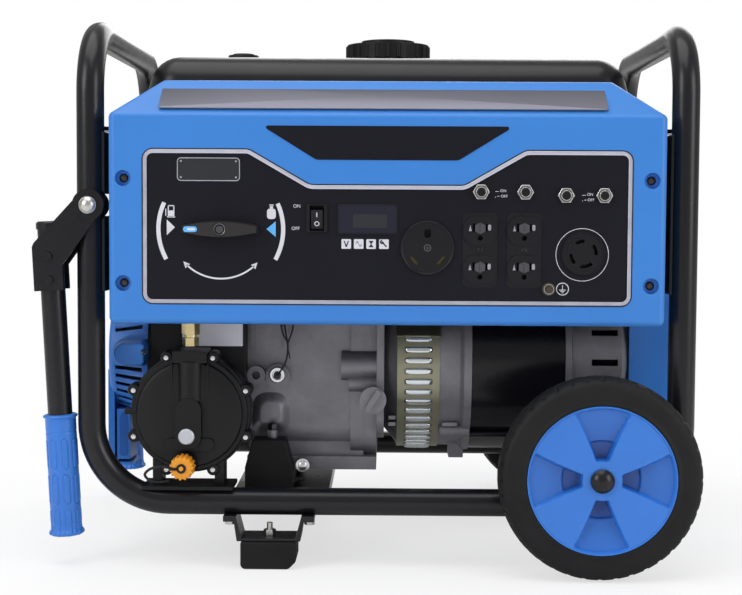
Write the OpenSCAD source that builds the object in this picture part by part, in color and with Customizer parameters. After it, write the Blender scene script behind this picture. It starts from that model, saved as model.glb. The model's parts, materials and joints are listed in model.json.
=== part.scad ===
// Portable dual-fuel generator on an open tube frame.
// X runs to the wheel end, Y to the back, Z up from the ground.

/* [Frame] */
// Diameter of the frame tube
tube_d = 28; // [25:1:30]
// Wall thickness of the frame tube
tube_wall = 2; // [1.5:0.25:3]
// Distance between the post centres along X
post_pitch = 605; // [600:1:610]
// Distance between the front and rear tube loops
loop_pitch = 402; // [398:1:406]
// Height of the bottom rail centres
rail_z = 66; // [64:1:68]
// Height of the top rail centres
top_z = 548; // [544:1:556]
// Bend radius at the bottom corners
corner_r = 80; // [70:1:85]
// Bend radius from the posts to the top rails
shoulder_r = 65; // [55:1:70]

/* [Wheels and feet] */
// Outer radius of the tyre
tyre_r = 101.6; // [100:0.1:102]
// Radius where the tyre sits on the rim
rim_r = 74; // [70:1:76]
// Width of the wheel
wheel_w = 45; // [40:1:45]
// Wheel centre along X from the frame centre
wheel_x = 213.5; // [205:0.5:215]
// Radius of the stub axle
axle_r = 8; // [7:0.5:9]
// Foot centre along X from the frame centre
foot_x = -119; // [-130:1:-110]
// Height of the rubber foot pad
pad_h = 28; // [25:1:30]

/* [Panel] */
// Width of the blue surround
surround_w = 558; // [550:1:560]
// Height of the lower edge of the surround
surround_z0 = 251; // [248:1:254]
// Height where the slanted brow begins
surround_z1 = 464; // [460:1:468]
// Height of the back edge of the brow
brow_z = 498; // [494:1:500]
// Wall thickness of the surround
surround_wall = 3; // [2.5:0.5:4]
// Depth of the control plate's recess
recess = 2; // [1:0.5:2.5]

/* [Engine and alternator] */
// Height of the crankshaft
crank_z = 206; // [204:1:208]
// Crankshaft position along Y
crank_y = -45; // [-47:1:-43]
// Outer radius of the stator
stator_r = 106; // [104:1:107]
// Radius of the fan housing
fan_r = 112; // [110:1:113]
// Number of louvres in the visible arc of the vent band
band_louvres = 20; // [12:1:24]

/* [Handles] */
// Height of the handle pivots
pivot_z = 370; // [366:1:374]
// Radius of the handle tube
handle_r = 12.5; // [11:0.5:12.5]
// Lean of the hanging handle
lean = 2.9; // [2.5:0.1:3.2]

/* [Hidden] */
$fn = 64;

tube_r = tube_d / 2;
post_x = post_pitch / 2;
loop_y = loop_pitch / 2;
rail_top = rail_z + tube_r;
run_gap = 0.05;   // radial clearance of a running fit
clear = 0.3;      // clearance between bodies that move past each other

// Frame centre measured from the middle of the whole machine
frame_x = 21.45;

// Wheels
wheel_out_y = loop_y + 71;
wheel_in_y = wheel_out_y - wheel_w;

// Panel
panel_y = -235;
plate_y = panel_y + recess;
plate_z0 = 272;
plate_z1 = 426;
plate_w = 488;
brow_y = panel_y + 50;
brow_w = 468;

// Crank line stations along X
adapter_x = -2;
stator_x = 91;
bell_x = 190;
end_x = 258;

// ---------------------------------------------------------------- helpers

// Moves a part from the frame centre to the machine's own origin
module on_frame() {
    translate([frame_x, 0, 0]) children();
}

// Box between two opposite corners
module block(a, b) {
    translate(a) cube([for (i = [0 : 2]) b[i] - a[i]]);
}

// Cylinders along X, Y and Z between two stations
module rod_x(x0, x1, r, y = 0, z = 0) {
    translate([x0, y, z]) rotate([0, 90, 0]) cylinder(r = r, h = x1 - x0);
}
module rod_y(y0, y1, r, x = 0, z = 0) {
    translate([x, y0, z]) rotate([-90, 0, 0]) cylinder(r = r, h = y1 - y0);
}
module rod_z(z0, z1, r, x = 0, y = 0) {
    translate([x, y, z0]) cylinder(r = r, h = z1 - z0);
}

// Hexagonal bar along Y, a is the distance across flats
module hex_y(y0, y1, a, x, z) {
    translate([x, y0, z]) rotate([-90, 0, 0]) cylinder(r = a / sqrt(3), h = y1 - y0, $fn = 6);
}

// Rounded rectangle made of true arcs
module round_rect(w, h, r) {
    square([w - 2 * r, h], center = true);
    square([w, h - 2 * r], center = true);
    for (sx = [-1, 1], sy = [-1, 1])
        translate([sx * (w / 2 - r), sy * (h / 2 - r)]) circle(r);
}

// Flat outline in the XZ plane, given thickness from y0 to y1
module face_slab(y0, y1) {
    translate([0, y1, 0]) rotate([90, 0, 0]) linear_extrude(y1 - y0) children();
}

// Flat outline in the YZ plane, given thickness from x0 to x1
module side_slab(x0, x1) {
    translate([x0, 0, 0]) rotate([90, 0, 90]) linear_extrude(x1 - x0) children();
}

// Body of revolution about the crank line, profile points are [radius, x]
module turned(profile) {
    translate([0, crank_y, crank_z]) rotate([0, 90, 0]) rotate_extrude() polygon(profile);
}

// Ring about the crank line
module crank_ring(x0, x1, r_out, r_in) {
    turned([[r_in, x0], [r_out, x0], [r_out, x1], [r_in, x1]]);
}

// Quarter bend of a round bar in the XY plane from the X axis, bend radius b
module quarter_bend(b, r) {
    rotate_extrude(angle = 90) translate([b, 0]) circle(r);
}

module mirrored_y() {
    children();
    mirror([0, 1, 0]) children();
}

module mirrored_x() {
    children();
    mirror([1, 0, 0]) children();
}

// Tube through a list of points, each ring square to its own direction
function unit(v) = v / norm(v);
function ring_dirs(pts) = [for (i = [0 : len(pts) - 1])
    unit(pts[min(i + 1, len(pts) - 1)] - pts[max(i - 1, 0)])];
module swept_tube(pts, r, sides = 10) {
    dirs = ring_dirs(pts);
    rings = [for (i = [0 : len(pts) - 1])
        let (u = unit(cross(dirs[i], [1, 0.13, 0.07])), v = cross(dirs[i], u))
        for (k = [0 : sides - 1]) pts[i] + r * (cos(360 * k / sides) * u + sin(360 * k / sides) * v)];
    walls = [for (i = [0 : len(pts) - 2]) for (k = [0 : sides - 1])
        [i * sides + k, i * sides + (k + 1) % sides,
         (i + 1) * sides + (k + 1) % sides, (i + 1) * sides + k]];
    ends = [[for (k = [sides - 1 : -1 : 0]) k],
            [for (k = [0 : sides - 1]) (len(pts) - 1) * sides + k]];
    polyhedron(points = rings, faces = concat(ends, walls));
}
// Smooth curve through the middle of a route of hand-chosen points
function bezier2(a, b, c, t) = (1 - t) * (1 - t) * a + 2 * t * (1 - t) * b + t * t * c;
function smooth_route(p, n) = concat([p[0]],
    [for (i = [1 : len(p) - 2]) for (k = [0 : n])
        bezier2((p[i - 1] + p[i]) / 2, p[i], (p[i] + p[i + 1]) / 2, k / n)],
    [p[len(p) - 1]]);

// ---------------------------------------------------------------- frame

// One loop of tube: half top rails, shoulder bends, posts, corner bends and bottom rail
module loop_bar(r, over = 0) {
    mirrored_x() translate([-post_x, 0, 0]) {
        rod_y(-loop_y + shoulder_r, over, r, 0, top_z);
        translate([0, -loop_y + shoulder_r, top_z - shoulder_r])
            rotate([0, 90, 180]) rotate([0, 0, 90]) quarter_bend(shoulder_r, r);
        rod_z(rail_z + corner_r, top_z - shoulder_r, r, 0, -loop_y);
        translate([corner_r, -loop_y, rail_z + corner_r])
            rotate([-90, 0, 0]) rotate([0, 0, 90]) quarter_bend(corner_r, r);
    }
    rod_x(-post_x + corner_r, post_x - corner_r, r, -loop_y, rail_z);
}

module frame_loop() {
    difference() {
        loop_bar(tube_r);
        loop_bar(tube_r - tube_wall, 1);
        // holes for the handle pivot bolts
        rod_y(-loop_y - 20, -loop_y + 20, 4.2, -post_x, pivot_z);
    }
}

// Shelf plates welded to the posts, under the corners of the tank's seam flange
module tank_shelves(side) {
    mirrored_x() difference() {
        translate([0, 0, seam_z - 5.5]) linear_extrude(4)
            polygon([[-307, side * 190], [-297, side * 193], [-250, side * 152],
                     [-262, side * 112], [-303, side * 146]]);
        translate([0, tank_mid, seam_z - 6]) linear_extrude(5) round_rect(tank_w + 1, tank_d + 1, 38);
        rod_z(seam_z - 7, seam_z, tube_r, -post_x, side * loop_y);
    }
}

module front_frame_tube() color([0.07, 0.07, 0.08]) on_frame() {
    frame_loop();
    tank_shelves(-1);
}

module rear_frame_tube() color([0.07, 0.07, 0.08]) on_frame() {
    mirror([0, 1, 0]) frame_loop();
    tank_shelves(1);
}

// Solid stand-ins for the rails, used to cut saddles into what is welded on them
module rail_cutter() {
    mirrored_y() loop_bar(tube_r);
}

cross_z = 69;     // top of the cross channels
cross_h = 14;
cross_wall = 3;
engine_cross = [-160, -60];
bell_cross = [205, 245];

// Channel, open below, between the two bottom rails
module cross_channel(x0, x1) {
    side_w = (x1 - x0) / 2;
    difference() {
        block([x0, -loop_y, cross_z - cross_h], [x1, loop_y, cross_z]);
        block([x0 + cross_wall, -loop_y - 1, cross_z - cross_h - 1],
              [x1 - cross_wall, loop_y + 1, cross_z - cross_wall]);
        rail_cutter();
        for (y = [-90, 0, 90])
            rod_z(cross_z - 5, cross_z + 1, 12, (x0 + x1) / 2 + side_w / 4, y);
    }
}

module base_crossmembers() color([0.08, 0.08, 0.09]) on_frame() {
    cross_channel(engine_cross[0], engine_cross[1]);
    cross_channel(bell_cross[0], bell_cross[1]);
}

module stub_axle() {
    plate_y0 = -loop_y - tube_r - 5;
    difference() {
        face_slab(plate_y0, -loop_y - 4) {
            translate([wheel_x, 84]) round_rect(50, 66, 10);
        }
        rail_cutter();
    }
    rod_y(-wheel_out_y - 2, plate_y0, axle_r, wheel_x, tyre_r);
    rod_y(plate_y0 - 5.2, plate_y0, 13, wheel_x, tyre_r);
    // domed cap pressed over the axle end
    translate([wheel_x, -wheel_out_y - 1, tyre_r]) rotate([90, 0, 0]) intersection() {
        translate([0, 0, -8.5]) sphere(r = 14.6);
        cylinder(r = 11.8, h = 7);
    }
}

module wheel_axles() color([0.1, 0.1, 0.11]) on_frame() mirrored_y() stub_axle();

foot_w = 57;
strap = 3;

// Hat-shaped strap under a bottom rail: flanges, sloping legs and a base
module foot_bracket() {
    leg = foot_w / 2 + 3;
    top = rail_z - tube_r;
    difference() {
        face_slab(-loop_y - 20, -loop_y + 20)
            translate([foot_x, 0])
                polygon([[-leg - 15, top - 4], [-leg - 15, top + 2], [-leg - 2, top + 2],
                         [-leg + 4, pad_h + strap], [leg - 4, pad_h + strap], [leg + 2, top + 2],
                         [leg + 15, top + 2], [leg + 15, top - 4], [leg + 4, top - 4],
                         [leg + 1, pad_h], [-leg - 1, pad_h], [-leg - 4, top - 4]]);
        rail_cutter();
    }
}

module foot_brackets() color([0.08, 0.08, 0.09]) on_frame() mirrored_y() foot_bracket();

module foot_pads() color([0.1, 0.1, 0.1]) on_frame() mirrored_y() {
    face_slab(-loop_y - 24, -loop_y + 24)
        translate([foot_x, 0])
            polygon([[-foot_w / 2 + 3, 0], [foot_w / 2 - 8, 0], [foot_w / 2, 8], [foot_w / 2, pad_h],
                     [-foot_w / 2, pad_h], [-foot_w / 2, 3]]);
}

bolt_z = rail_z - tube_r - 4;
module frame_bolts() color([0.7, 0.7, 0.72]) on_frame() mirrored_y() {
    // foot strap bolts and the centre stud with its nut
    for (dx = [-41, 41])
        translate([foot_x + dx, -loop_y, bolt_z - 6]) cylinder(r = 5.5, h = 6, $fn = 6);
    translate([foot_x, -loop_y, pad_h + strap]) cylinder(r = 6.5, h = 6, $fn = 6);
    rod_z(pad_h + strap + 6, pad_h + strap + 13, 3, foot_x, -loop_y);
    // handle pivot bolts through the posts, with washers and domed heads
    rod_y(-loop_y - 18, -loop_y + 18, 4, -post_x, pivot_z);
    for (s = [0, 1]) translate([-post_x, -loop_y, pivot_z]) rotate([0, 0, 180 * s])
        translate([0, -17.9, 0]) rotate([90, 0, 0]) {
            cylinder(r = 8.8, h = 1.6);
            translate([0, 0, 1.6]) intersection() {
                translate([0, 0, -5.5]) sphere(r = 10);
                cylinder(r = 8, h = 5);
            }
        }
}

// Rubber isolator: a chamfered upright block with a low step under the engine's foot
module isolator(x0, x1, y0, tall) {
    mid = (x0 + x1) / 2;
    half = (x1 - x0) / 2;
    face_slab(y0, y0 + 28)
        translate([mid, 0])
            polygon([[-half, cross_z], [half, cross_z], [half, cross_z + 24],
                     [half - 8, tall], [-half + 8, tall], [-half, cross_z + 24]]);
    block([x0, y0 + 28, cross_z], [x1, y0 + 62, 87]);
}

module engine_mounts() color([0.05, 0.05, 0.05]) on_frame() {
    isolator(-149, -98, -158, 123);
    translate([0, 2 * crank_y + 6, 0]) mirror([0, 1, 0]) isolator(-149, -98, -158, 100);
    // isolators under the alternator's feet
    for (y = [crank_y - 58, crank_y + 18])
        block([207, y, cross_z], [243, y + 40, 85]);
}

// ---------------------------------------------------------------- fuel tank

tank_y = [-150, 170];
tank_mid = (tank_y[0] + tank_y[1]) / 2;
tank_d = tank_y[1] - tank_y[0];
tank_w = 532;
seam_z = 452;
tank_top = 534;
tank_bot = 398;
tank_wall = 2.5;
neck_r = 26;
neck_lip = 1;

// Half of the tank: wide at the seam, drawn in and rounded away from it
module tank_half(sign, height, draft, edge, in) {
    re = edge - in;
    w = tank_w / 2 - in;
    d = tank_d / 2 - in;
    h = height - in;
    translate([0, tank_mid, seam_z]) hull() {
        for (sx = [-1, 1], sy = [-1, 1]) {
            translate([sx * (w - 38 + in), sy * (d - 38 + in), sign > 0 ? 0 : -8])
                cylinder(r = 38 - in, h = 8, $fn = 32);
            translate([sx * (w - draft - re), sy * (d - draft - re), sign * (h - re - 5)])
                sphere(r = re, $fn = 32);
        }
        // slight crown along the middle
        translate([-w * 0.6, -d * 0.45, sign > 0 ? h - 1 : 1 - h - 0.5]) cube([w * 1.2, d * 0.9, 0.5]);
    }
}

module fuel_tank() color([0.09, 0.09, 0.1]) on_frame() {
    difference() {
        union() {
            tank_half(1, tank_top - seam_z, 10, 34, 0);
            tank_half(-1, seam_z - tank_bot, 14, 26, 0);
            // seam flange
            translate([0, tank_mid, seam_z - 1.5]) linear_extrude(3)
                round_rect(tank_w + 12, tank_d + 12, 44);
            rod_z(tank_top - 6, tank_top + neck_lip, neck_r + 6);
        }
        tank_half(1, tank_top - seam_z, 10, 34, tank_wall);
        tank_half(-1, seam_z - tank_bot, 14, 26, tank_wall);
        rod_z(tank_top - 12, tank_top + 6, neck_r);
        // seat of the fuel gauge
        rod_z(tank_top - 12, tank_top + 6, 13, -165, 0);
    }
}

module fuel_gauge() color([0.08, 0.08, 0.09]) on_frame() translate([-165, 0, 0]) {
    rod_z(tank_top - 11.9, tank_top + 1.5, 12.9);
    translate([0, 0, tank_top + 1.5]) cylinder(r1 = 19, r2 = 17, h = 6);
    translate([0, 0, tank_top + 7.5]) cylinder(r = 12, h = 1.6);
}

cap_z = tank_top + neck_lip + clear;

// Inner core of the filler cap: a plug in the neck under a flange, with a spindle for the shell
module cap_core() color([0.12, 0.12, 0.12]) on_frame() {
    rod_z(cap_z - 4, cap_z, neck_r - 1);
    rod_z(cap_z, cap_z + 3, neck_r + 4);
    rod_z(cap_z + 3, cap_z + 12, 10);
}

// Outer shell of the filler cap, with grip ribs and a raised centre disc
module fuel_cap() color([0.08, 0.08, 0.09]) on_frame() {
    foot = cap_z + 0.8;
    difference() {
        union() {
            rod_z(foot, cap_z + 18, 46);
            for (a = [0 : 15 : 345]) rotate([0, 0, a]) rod_z(foot + 1, cap_z + 16.5, 2.4, 45.6, 0);
            rod_z(cap_z + 18, cap_z + 22.5, 30);
        }
        rod_z(foot - 1, cap_z + 3 + clear, neck_r + 8);
        rod_z(foot - 1, cap_z + 12 + clear, 10 + run_gap);
    }
}

// ---------------------------------------------------------------- panel

// Wedge-topped body of the surround, shrunk by an inset
module surround_body(in, front) {
    w = surround_w / 2 - in;
    bw = brow_w / 2 - in;
    r = max(7 - in, 2);
    hull() {
        for (sx = [-1, 1]) {
            for (z = [surround_z0 + in + r, surround_z1 - in - r])
                translate([sx * (w - r), panel_y + front + r, z]) sphere(r = r, $fn = 24);
            for (z = [surround_z0 + in + r, surround_z1 - in - r])
                translate([sx * (w - r), brow_y + 4, z]) rotate([-90, 0, 0])
                    cylinder(r = r, h = 1, $fn = 24);
            translate([sx * (bw - r), brow_y - 1, brow_z - in - r]) sphere(r = r, $fn = 24);
            translate([sx * (bw - r), brow_y + 4, brow_z - in - r]) rotate([-90, 0, 0])
                cylinder(r = r, h = 1, $fn = 24);
        }
    }
}

// Outline of the control plate: rounded, with a wide dip in its top edge
module plate_outline(grow = 0) {
    w = plate_w / 2 + grow;
    r = max(10 + grow, 2);
    dip = 391 + grow;
    difference() {
        translate([0, (plate_z0 + plate_z1) / 2])
            round_rect(2 * w, plate_z1 - plate_z0 + 2 * grow, r);
        polygon([[-138 + grow / 2, plate_z1 + 20], [-138 + grow / 2, plate_z1 + grow + 0.01],
                 [-77 + grow / 2, dip], [77 - grow / 2, dip],
                 [138 - grow / 2, plate_z1 + grow + 0.01], [138 - grow / 2, plate_z1 + 20]]);
    }
}

screw_spots = [for (sx = [-1, 1], z = [292, 397]) [sx * 264, z]];

module panel_surround() color([0.2, 0.5, 0.85]) on_frame() {
    difference() {
        surround_body(0, 0);
        difference() {
            surround_body(surround_wall, surround_wall);
            // pads behind the screw recesses
            for (s = screw_spots) rod_y(panel_y, panel_y + 12, 11.5, s[0], s[1]);
        }
        // open back
        block([-surround_w / 2 + surround_wall, brow_y - 1, surround_z0 + surround_wall],
              [surround_w / 2 - surround_wall, brow_y + 9, surround_z1 - surround_wall]);
        // recess and window for the control plate
        face_slab(panel_y - 1, plate_y) plate_outline(0.3);
        face_slab(panel_y - 1, panel_y + 9) plate_outline(-6);
        // shallow floor: its back part is cut away over the gas fitting
        block([-surround_w / 2 + surround_wall, -203, surround_z0 - 1],
              [surround_w / 2 - surround_wall, brow_y + 9, surround_z0 + 4]);
        for (s = screw_spots) {
            rod_y(panel_y - 1, panel_y + 8, 8, s[0], s[1]);
            rod_y(panel_y - 1, panel_y + 13, 3, s[0], s[1]);
        }
    }
}

// Control positions on the plate, [x, z]
knob_at = [-166, 346.5];
switch_at = [-70, 358];
meter_at = [-19.5, 357];
round_at = [[40.6, 329], [196, 324]];
duplex_at = [[93, 327], [137, 327]];
breaker_at = [[93.5, 385], [137.5, 385], [178, 382], [216, 382]];
ground_at = [162, 288.5];

duplex_face_r = 17.05;
duplex_half = 19.45;

module control_plate() color([0.11, 0.11, 0.13]) on_frame() {
    difference() {
        face_slab(plate_y - 2.5, plate_y) plate_outline();
        // field sunk inside the raised border
        face_slab(plate_y - 3, plate_y - 1.7) plate_outline(-4);
        rod_y(plate_y - 9, plate_y + 9, 5 + run_gap, knob_at[0], knob_at[1]);
        face_slab(plate_y - 9, plate_y + 9) {
            translate(switch_at) square([18, 25], center = true);
            translate(meter_at) square([52, 24], center = true);
            for (p = duplex_at) translate(p) round_rect(30, 68, 4);
        }
        rod_y(plate_y - 9, plate_y + 9, 24.5, round_at[0][0], round_at[0][1]);
        rod_y(plate_y - 9, plate_y + 9, 20, round_at[1][0], round_at[1][1]);
        for (p = breaker_at) rod_y(plate_y - 9, plate_y + 9, 5.5, p[0], p[1]);
        rod_y(plate_y - 9, plate_y + 9, 3, ground_at[0], ground_at[1]);
    }
}

front = plate_y - 1.7;  // face of the sunk field

// Domed cross-headed screw, head towards the front
module panel_screw(x, y, z, r, reach) {
    difference() {
        union() {
            translate([x, y, z]) rotate([90, 0, 0]) intersection() {
                translate([0, 0, -r]) sphere(r = r * 1.45);
                cylinder(r = r, h = r);
            }
            rod_y(y, y + reach, r * 0.55, x, z);
        }
        for (a = [0, 90]) translate([x, y - r * 0.5, z]) rotate([0, a, 0])
            cube([r * 1.1, r * 0.5, r * 0.25], center = true);
    }
}

module panel_fasteners() color([0.25, 0.24, 0.22]) on_frame() {
    for (s = screw_spots) panel_screw(s[0], panel_y + 8, s[1], 4.5, 9);
    // ground stud with nut and washer
    rod_y(front - 8, front + 20, 2.5, ground_at[0], ground_at[1]);
    hex_y(front - 4.5, front - 1, 8, ground_at[0], ground_at[1]);
    rod_y(front - 1, front, 6.5, ground_at[0], ground_at[1]);
}

// Face of one outlet: circle with flats above and below
module outlet_face() {
    intersection() {
        circle(duplex_face_r);
        square([40, 28.6], center = true);
    }
}

// Slots of a grounded two-blade outlet
module blade_slots() {
    translate([-6.35, 3.2]) square([2.2, 8.4], center = true);
    translate([6.35, 3.2]) square([2.2, 6.8], center = true);
    translate([0, -7.2]) circle(2.6);
}

module duplex_outlets() color([0.06, 0.06, 0.07]) on_frame() {
    for (p = duplex_at) {
        difference() {
            union() {
                face_slab(front - 0.6, front) translate(p) round_rect(34.6, 75, 5);
                face_slab(front, front + 22) translate(p) round_rect(29.4, 67.4, 4);
                for (s = [-1, 1])
                    face_slab(front - 2.2, front) translate(p + [0, s * duplex_half]) outlet_face();
            }
            for (s = [-1, 1])
                face_slab(front - 3, front + 15)
                    translate(p + [0, s * duplex_half]) blade_slots();
        }
        panel_screw(p[0], front - 0.6, p[1], 2.6, 0.1);
    }
}

// Curved slot of a locking outlet
module arc_slot(r, width, a0, a1) {
    intersection() {
        difference() {
            circle(r + width / 2);
            circle(r - width / 2);
        }
        polygon([[0, 0], for (a = [a0 : (a1 - a0) / 4 : a1]) 2 * r * [cos(a), sin(a)]]);
    }
}

module round_outlets() color([0.06, 0.06, 0.07]) on_frame() {
    // travel outlet: two slanted blades and a round ground
    difference() {
        union() {
            rod_y(front - 2.5, front, 27, round_at[0][0], round_at[0][1]);
            rod_y(front, front + 24, 24.2, round_at[0][0], round_at[0][1]);
        }
        rod_y(front - 3, front - 1.2, 20, round_at[0][0], round_at[0][1]);
        face_slab(front - 3, front + 16) translate(round_at[0]) {
            translate([0, -9]) circle(3.4);
            for (s = [-1, 1]) translate([s * 8, 5]) rotate(s * 45) square([2.6, 9], center = true);
        }
    }
    // locking outlet: four curved slots
    difference() {
        union() {
            rod_y(front - 2, front, 21.8, round_at[1][0], round_at[1][1]);
            rod_y(front, front + 26, 19.7, round_at[1][0], round_at[1][1]);
        }
        face_slab(front - 3, front + 16) translate(round_at[1])
            for (a = [45, 135, 225, 315]) arc_slot(13, 3, a - 17, a + 17);
        rod_y(front - 3, front + 14, 3, round_at[1][0], round_at[1][1]);
    }
}

button_r = 4;
module breakers() color([0.6, 0.6, 0.62]) on_frame() for (p = breaker_at) {
    difference() {
        union() {
            hex_y(front - 4.5, front, 14.5, p[0], p[1]);
            rod_y(front - 7, front - 4.5, 5.3, p[0], p[1]);
            rod_y(front, front + 6, 5.3, p[0], p[1]);
            block([p[0] - 8, front + 6, p[1] - 13], [p[0] + 8, front + 34, p[1] + 13]);
        }
        rod_y(front - 8, front + 16, button_r + run_gap, p[0], p[1]);
    }
}

module breaker_button(i) color([0.08, 0.08, 0.09]) on_frame() {
    p = breaker_at[i];
    rod_y(front - 9, front + 10, button_r, p[0], p[1]);
}
module breaker_button_1() breaker_button(0);
module breaker_button_2() breaker_button(1);
module breaker_button_3() breaker_button(2);
module breaker_button_4() breaker_button(3);

rocker_half = [6.8, 10.4];
rocker_y = front + 6;

module switch_housing() color([0.07, 0.07, 0.08]) on_frame() {
    difference() {
        union() {
            face_slab(front - 2.2, front) translate(switch_at) round_rect(21, 28, 1.5);
            face_slab(front, front + 20) translate(switch_at) square([17.6, 24.6], center = true);
        }
        face_slab(front - 3, front + 12) translate(switch_at)
            square([2 * rocker_half[0] + 2 * clear, 2 * rocker_half[1] + 5], center = true);
        rod_x(switch_at[0] - 8.5, switch_at[0] + 8.5, 1.5 + run_gap, rocker_y, switch_at[1]);
    }
}

// Rocker: a bowed lens-shaped key that tips about its side trunnions
module engine_switch() color([0.05, 0.05, 0.06]) on_frame() {
    rod_x(switch_at[0] - 8.3, switch_at[0] + 8.3, 1.5, rocker_y, switch_at[1]);
    translate([switch_at[0], rocker_y, switch_at[1]]) rotate([10, 0, 0])
        side_slab(-rocker_half[0], rocker_half[0])
            difference() {
                circle(11);
                translate([-13, 0]) circle(7.2);
                translate([12.5, 0]) square([20, 40], center = true);
                for (s = [-1, 1]) translate([-2, s * 13.6]) square([30, 6], center = true);
            }
}

module hour_meter() color([0.09, 0.09, 0.1]) on_frame() {
    difference() {
        union() {
            face_slab(front - 1.6, front) translate(meter_at) round_rect(60, 30, 3);
            face_slab(front, front + 18) translate(meter_at) square([51.6, 23.6], center = true);
        }
        face_slab(front - 2, front - 0.6) translate(meter_at + [0, 4]) round_rect(44, 12, 1.5);
    }
}

// Selector bar on its shaft: tapered at the pointing end, round boss in the middle
module fuel_selector() color([0.08, 0.08, 0.09]) on_frame() {
    translate([knob_at[0], 0, knob_at[1]]) {
        face_slab(front - 16, front - 4) {
            round_rect(78, 17, 6);
            circle(15);
        }
        rod_y(front - 4, front - clear, 21);
        rod_y(front - clear, front + 24, 5);
    }
}

// Steel box behind the surround, open to the front, with flanges to the posts
module control_box() color([0.07, 0.07, 0.08]) on_frame() {
    z0 = 282;
    z1 = 444;
    y0 = brow_y + 6;
    y1 = -150;
    difference() {
        union() {
            block([-268, y0, z0], [268, y1, z1]);
            block([-291, y0, z0], [291, y0 + 3, z1]);
            // lips that reach forward and seat on the posts
            mirrored_x() block([-291, -loop_y - 7, z0], [-287, y0 + 3, z1]);
        }
        block([-266, y0 - 1, z0 + 2], [266, y1 - 2, z1 - 2]);
        rail_cutter();
        // room for the handle bracket
        rod_y(-loop_y - 20, y0 + 4, 19, -post_x, pivot_z);
        // cable entry in the back
        block([-30, y1 - 3, 296], [30, y1 + 1, 316]);
    }
    // struts that hold the surround at its screw pads
    for (s = screw_spots) difference() {
        rod_y(panel_y + 12, y0 + 3, 6, s[0], s[1]);
        rod_y(panel_y + 11, y0, 2.5, s[0], s[1]);
    }
}

// ---------------------------------------------------------------- engine

// Box with rounded edges along X
module x_rounded(x0, x1, y0, y1, z0, z1, r) {
    side_slab(x0, x1) translate([(y0 + y1) / 2, (z0 + z1) / 2]) round_rect(y1 - y0, z1 - z0, r);
}

case_x = [-149, -24];
case_front = -123;
shaft_r = 12.5;
tilt = 25;

// Moves a part into the frame of the inclined cylinder: its Z runs along the bore
module on_bore() {
    translate([-87, crank_y, crank_z]) rotate([tilt - 90, 0, 0]) children();
}

module crankcase() color([0.55, 0.55, 0.58]) on_frame() {
    difference() {
        union() {
            x_rounded(case_x[0], case_x[1], case_front, 42, 100, 284, 34);
            // sump and foot flange
            x_rounded(case_x[0] + 4, case_x[1], case_front + 6, 36, 87, 150, 8);
            block([case_x[0], case_front - 6, 87], [case_x[1], 46, 101]);
            // flange at the split line
            x_rounded(case_x[1] - 14, case_x[1], case_front - 3, 46, 97, 290, 30);
            // cast ribs and bosses on the front
            for (x = [-146, -110])
                block([x, case_front - 3, 215], [x + 5, case_front + 20, 262]);
            rod_y(case_front - 12, case_front + 20, 9.9, -139, 189);
            rod_y(case_front - 10, case_front + 20, 13, -116, 188);
            block([-139, case_front - 7, 178], [-116, case_front + 20, 184]);
            rod_x(-48, case_x[1], 16, case_front, 199);
            rod_x(-40, case_x[1], 9, case_front - 2, 180);
            // barrel with cooling fins
            on_bore() {
                translate([0, 0, 60]) cylinder(r = 46, h = 86);
                for (z = [82 : 9 : 136])
                    translate([0, 0, z]) linear_extrude(2.4) round_rect(124, 128, 26);
                translate([0, 0, 143]) linear_extrude(6) round_rect(116, 118, 14);
            }
        }
        // main bearing bore, open to both sides, and the crank chamber
        rod_x(case_x[0] - 1, case_x[0] + 23, shaft_r + run_gap, crank_y, crank_z);
        rod_x(case_x[0] + 22, case_x[1] + 1, 62, crank_y, crank_z);
        on_bore() translate([0, 0, 30]) cylinder(r = 44, h = 130);
        rod_y(case_front - 13, case_front + 2, 4.5, -139, 189);
    }
    // bolts on the foot flange and the oil sensor
    hex_y(case_front - 13, case_front - 6, 13, -88, 94);
    hex_y(case_front - 17, case_front - 10, 14, -116, 188);
    rod_y(case_front - 22, case_front - 17, 4, -116, 188);
}

filler_x = -13.5;

module crankcase_cover() color([0.52, 0.52, 0.55]) on_frame() {
    difference() {
        union() {
            x_rounded(case_x[1], -10, case_front - 3, 46, 97, 290, 30);
            x_rounded(-10, adapter_x, -140, 50, 120, 284, 26);
            block([case_x[1], case_front - 6, 87], [-10, 46, 101]);
            rod_x(case_x[1], -6, 16, case_front, 199);
            rod_x(case_x[1], -6, 9, case_front - 2, 180);
            // oil filler neck
            rod_y(-152, case_front + 4, 10, filler_x, 166);
        }
        rod_x(case_x[1] - 1, adapter_x + 1, shaft_r + run_gap, crank_y, crank_z);
        rod_y(-153, case_front + 10, 7.5, filler_x, 166);
    }
}

module oil_cap() color([0.45, 0.45, 0.47]) on_frame() translate([filler_x, 0, 166]) {
    rod_y(-160, -152 - clear, 14);
    rotate([0, 32, 0]) block([-3, -165, -12], [3, -160, 12]);
    rod_y(-152 - clear, case_front + 8, 7.5 - run_gap);
}

module cylinder_head() color([0.56, 0.56, 0.59]) on_frame() {
    on_bore() {
        difference() {
            union() {
                translate([0, 0, 149]) linear_extrude(42) round_rect(96, 98, 12);
                for (z = [153 : 8 : 185]) translate([0, 0, z]) linear_extrude(2.4)
                    round_rect(122, 132, 22);
                translate([0, 0, 188]) linear_extrude(6) round_rect(108, 96, 10);
            }
            translate([0, 0, 148]) cylinder(r = 40, h = 14);
            // spark plug well
            translate([34, -70, 170]) rotate([-90, 0, 0]) cylinder(r = 8, h = 40);
        }
    }
    // intake and exhaust stubs
    rod_x(-172, -130, 14, 100, 300);
    rod_x(-40, -18, 13, 110, 292);
    // spark plug and its boot
    on_bore() translate([34, -88, 170]) rotate([-90, 0, 0]) {
        cylinder(r = 7.95, h = 48);
        translate([0, 0, -14]) cylinder(r = 9.5, h = 22);
    }
}

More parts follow.
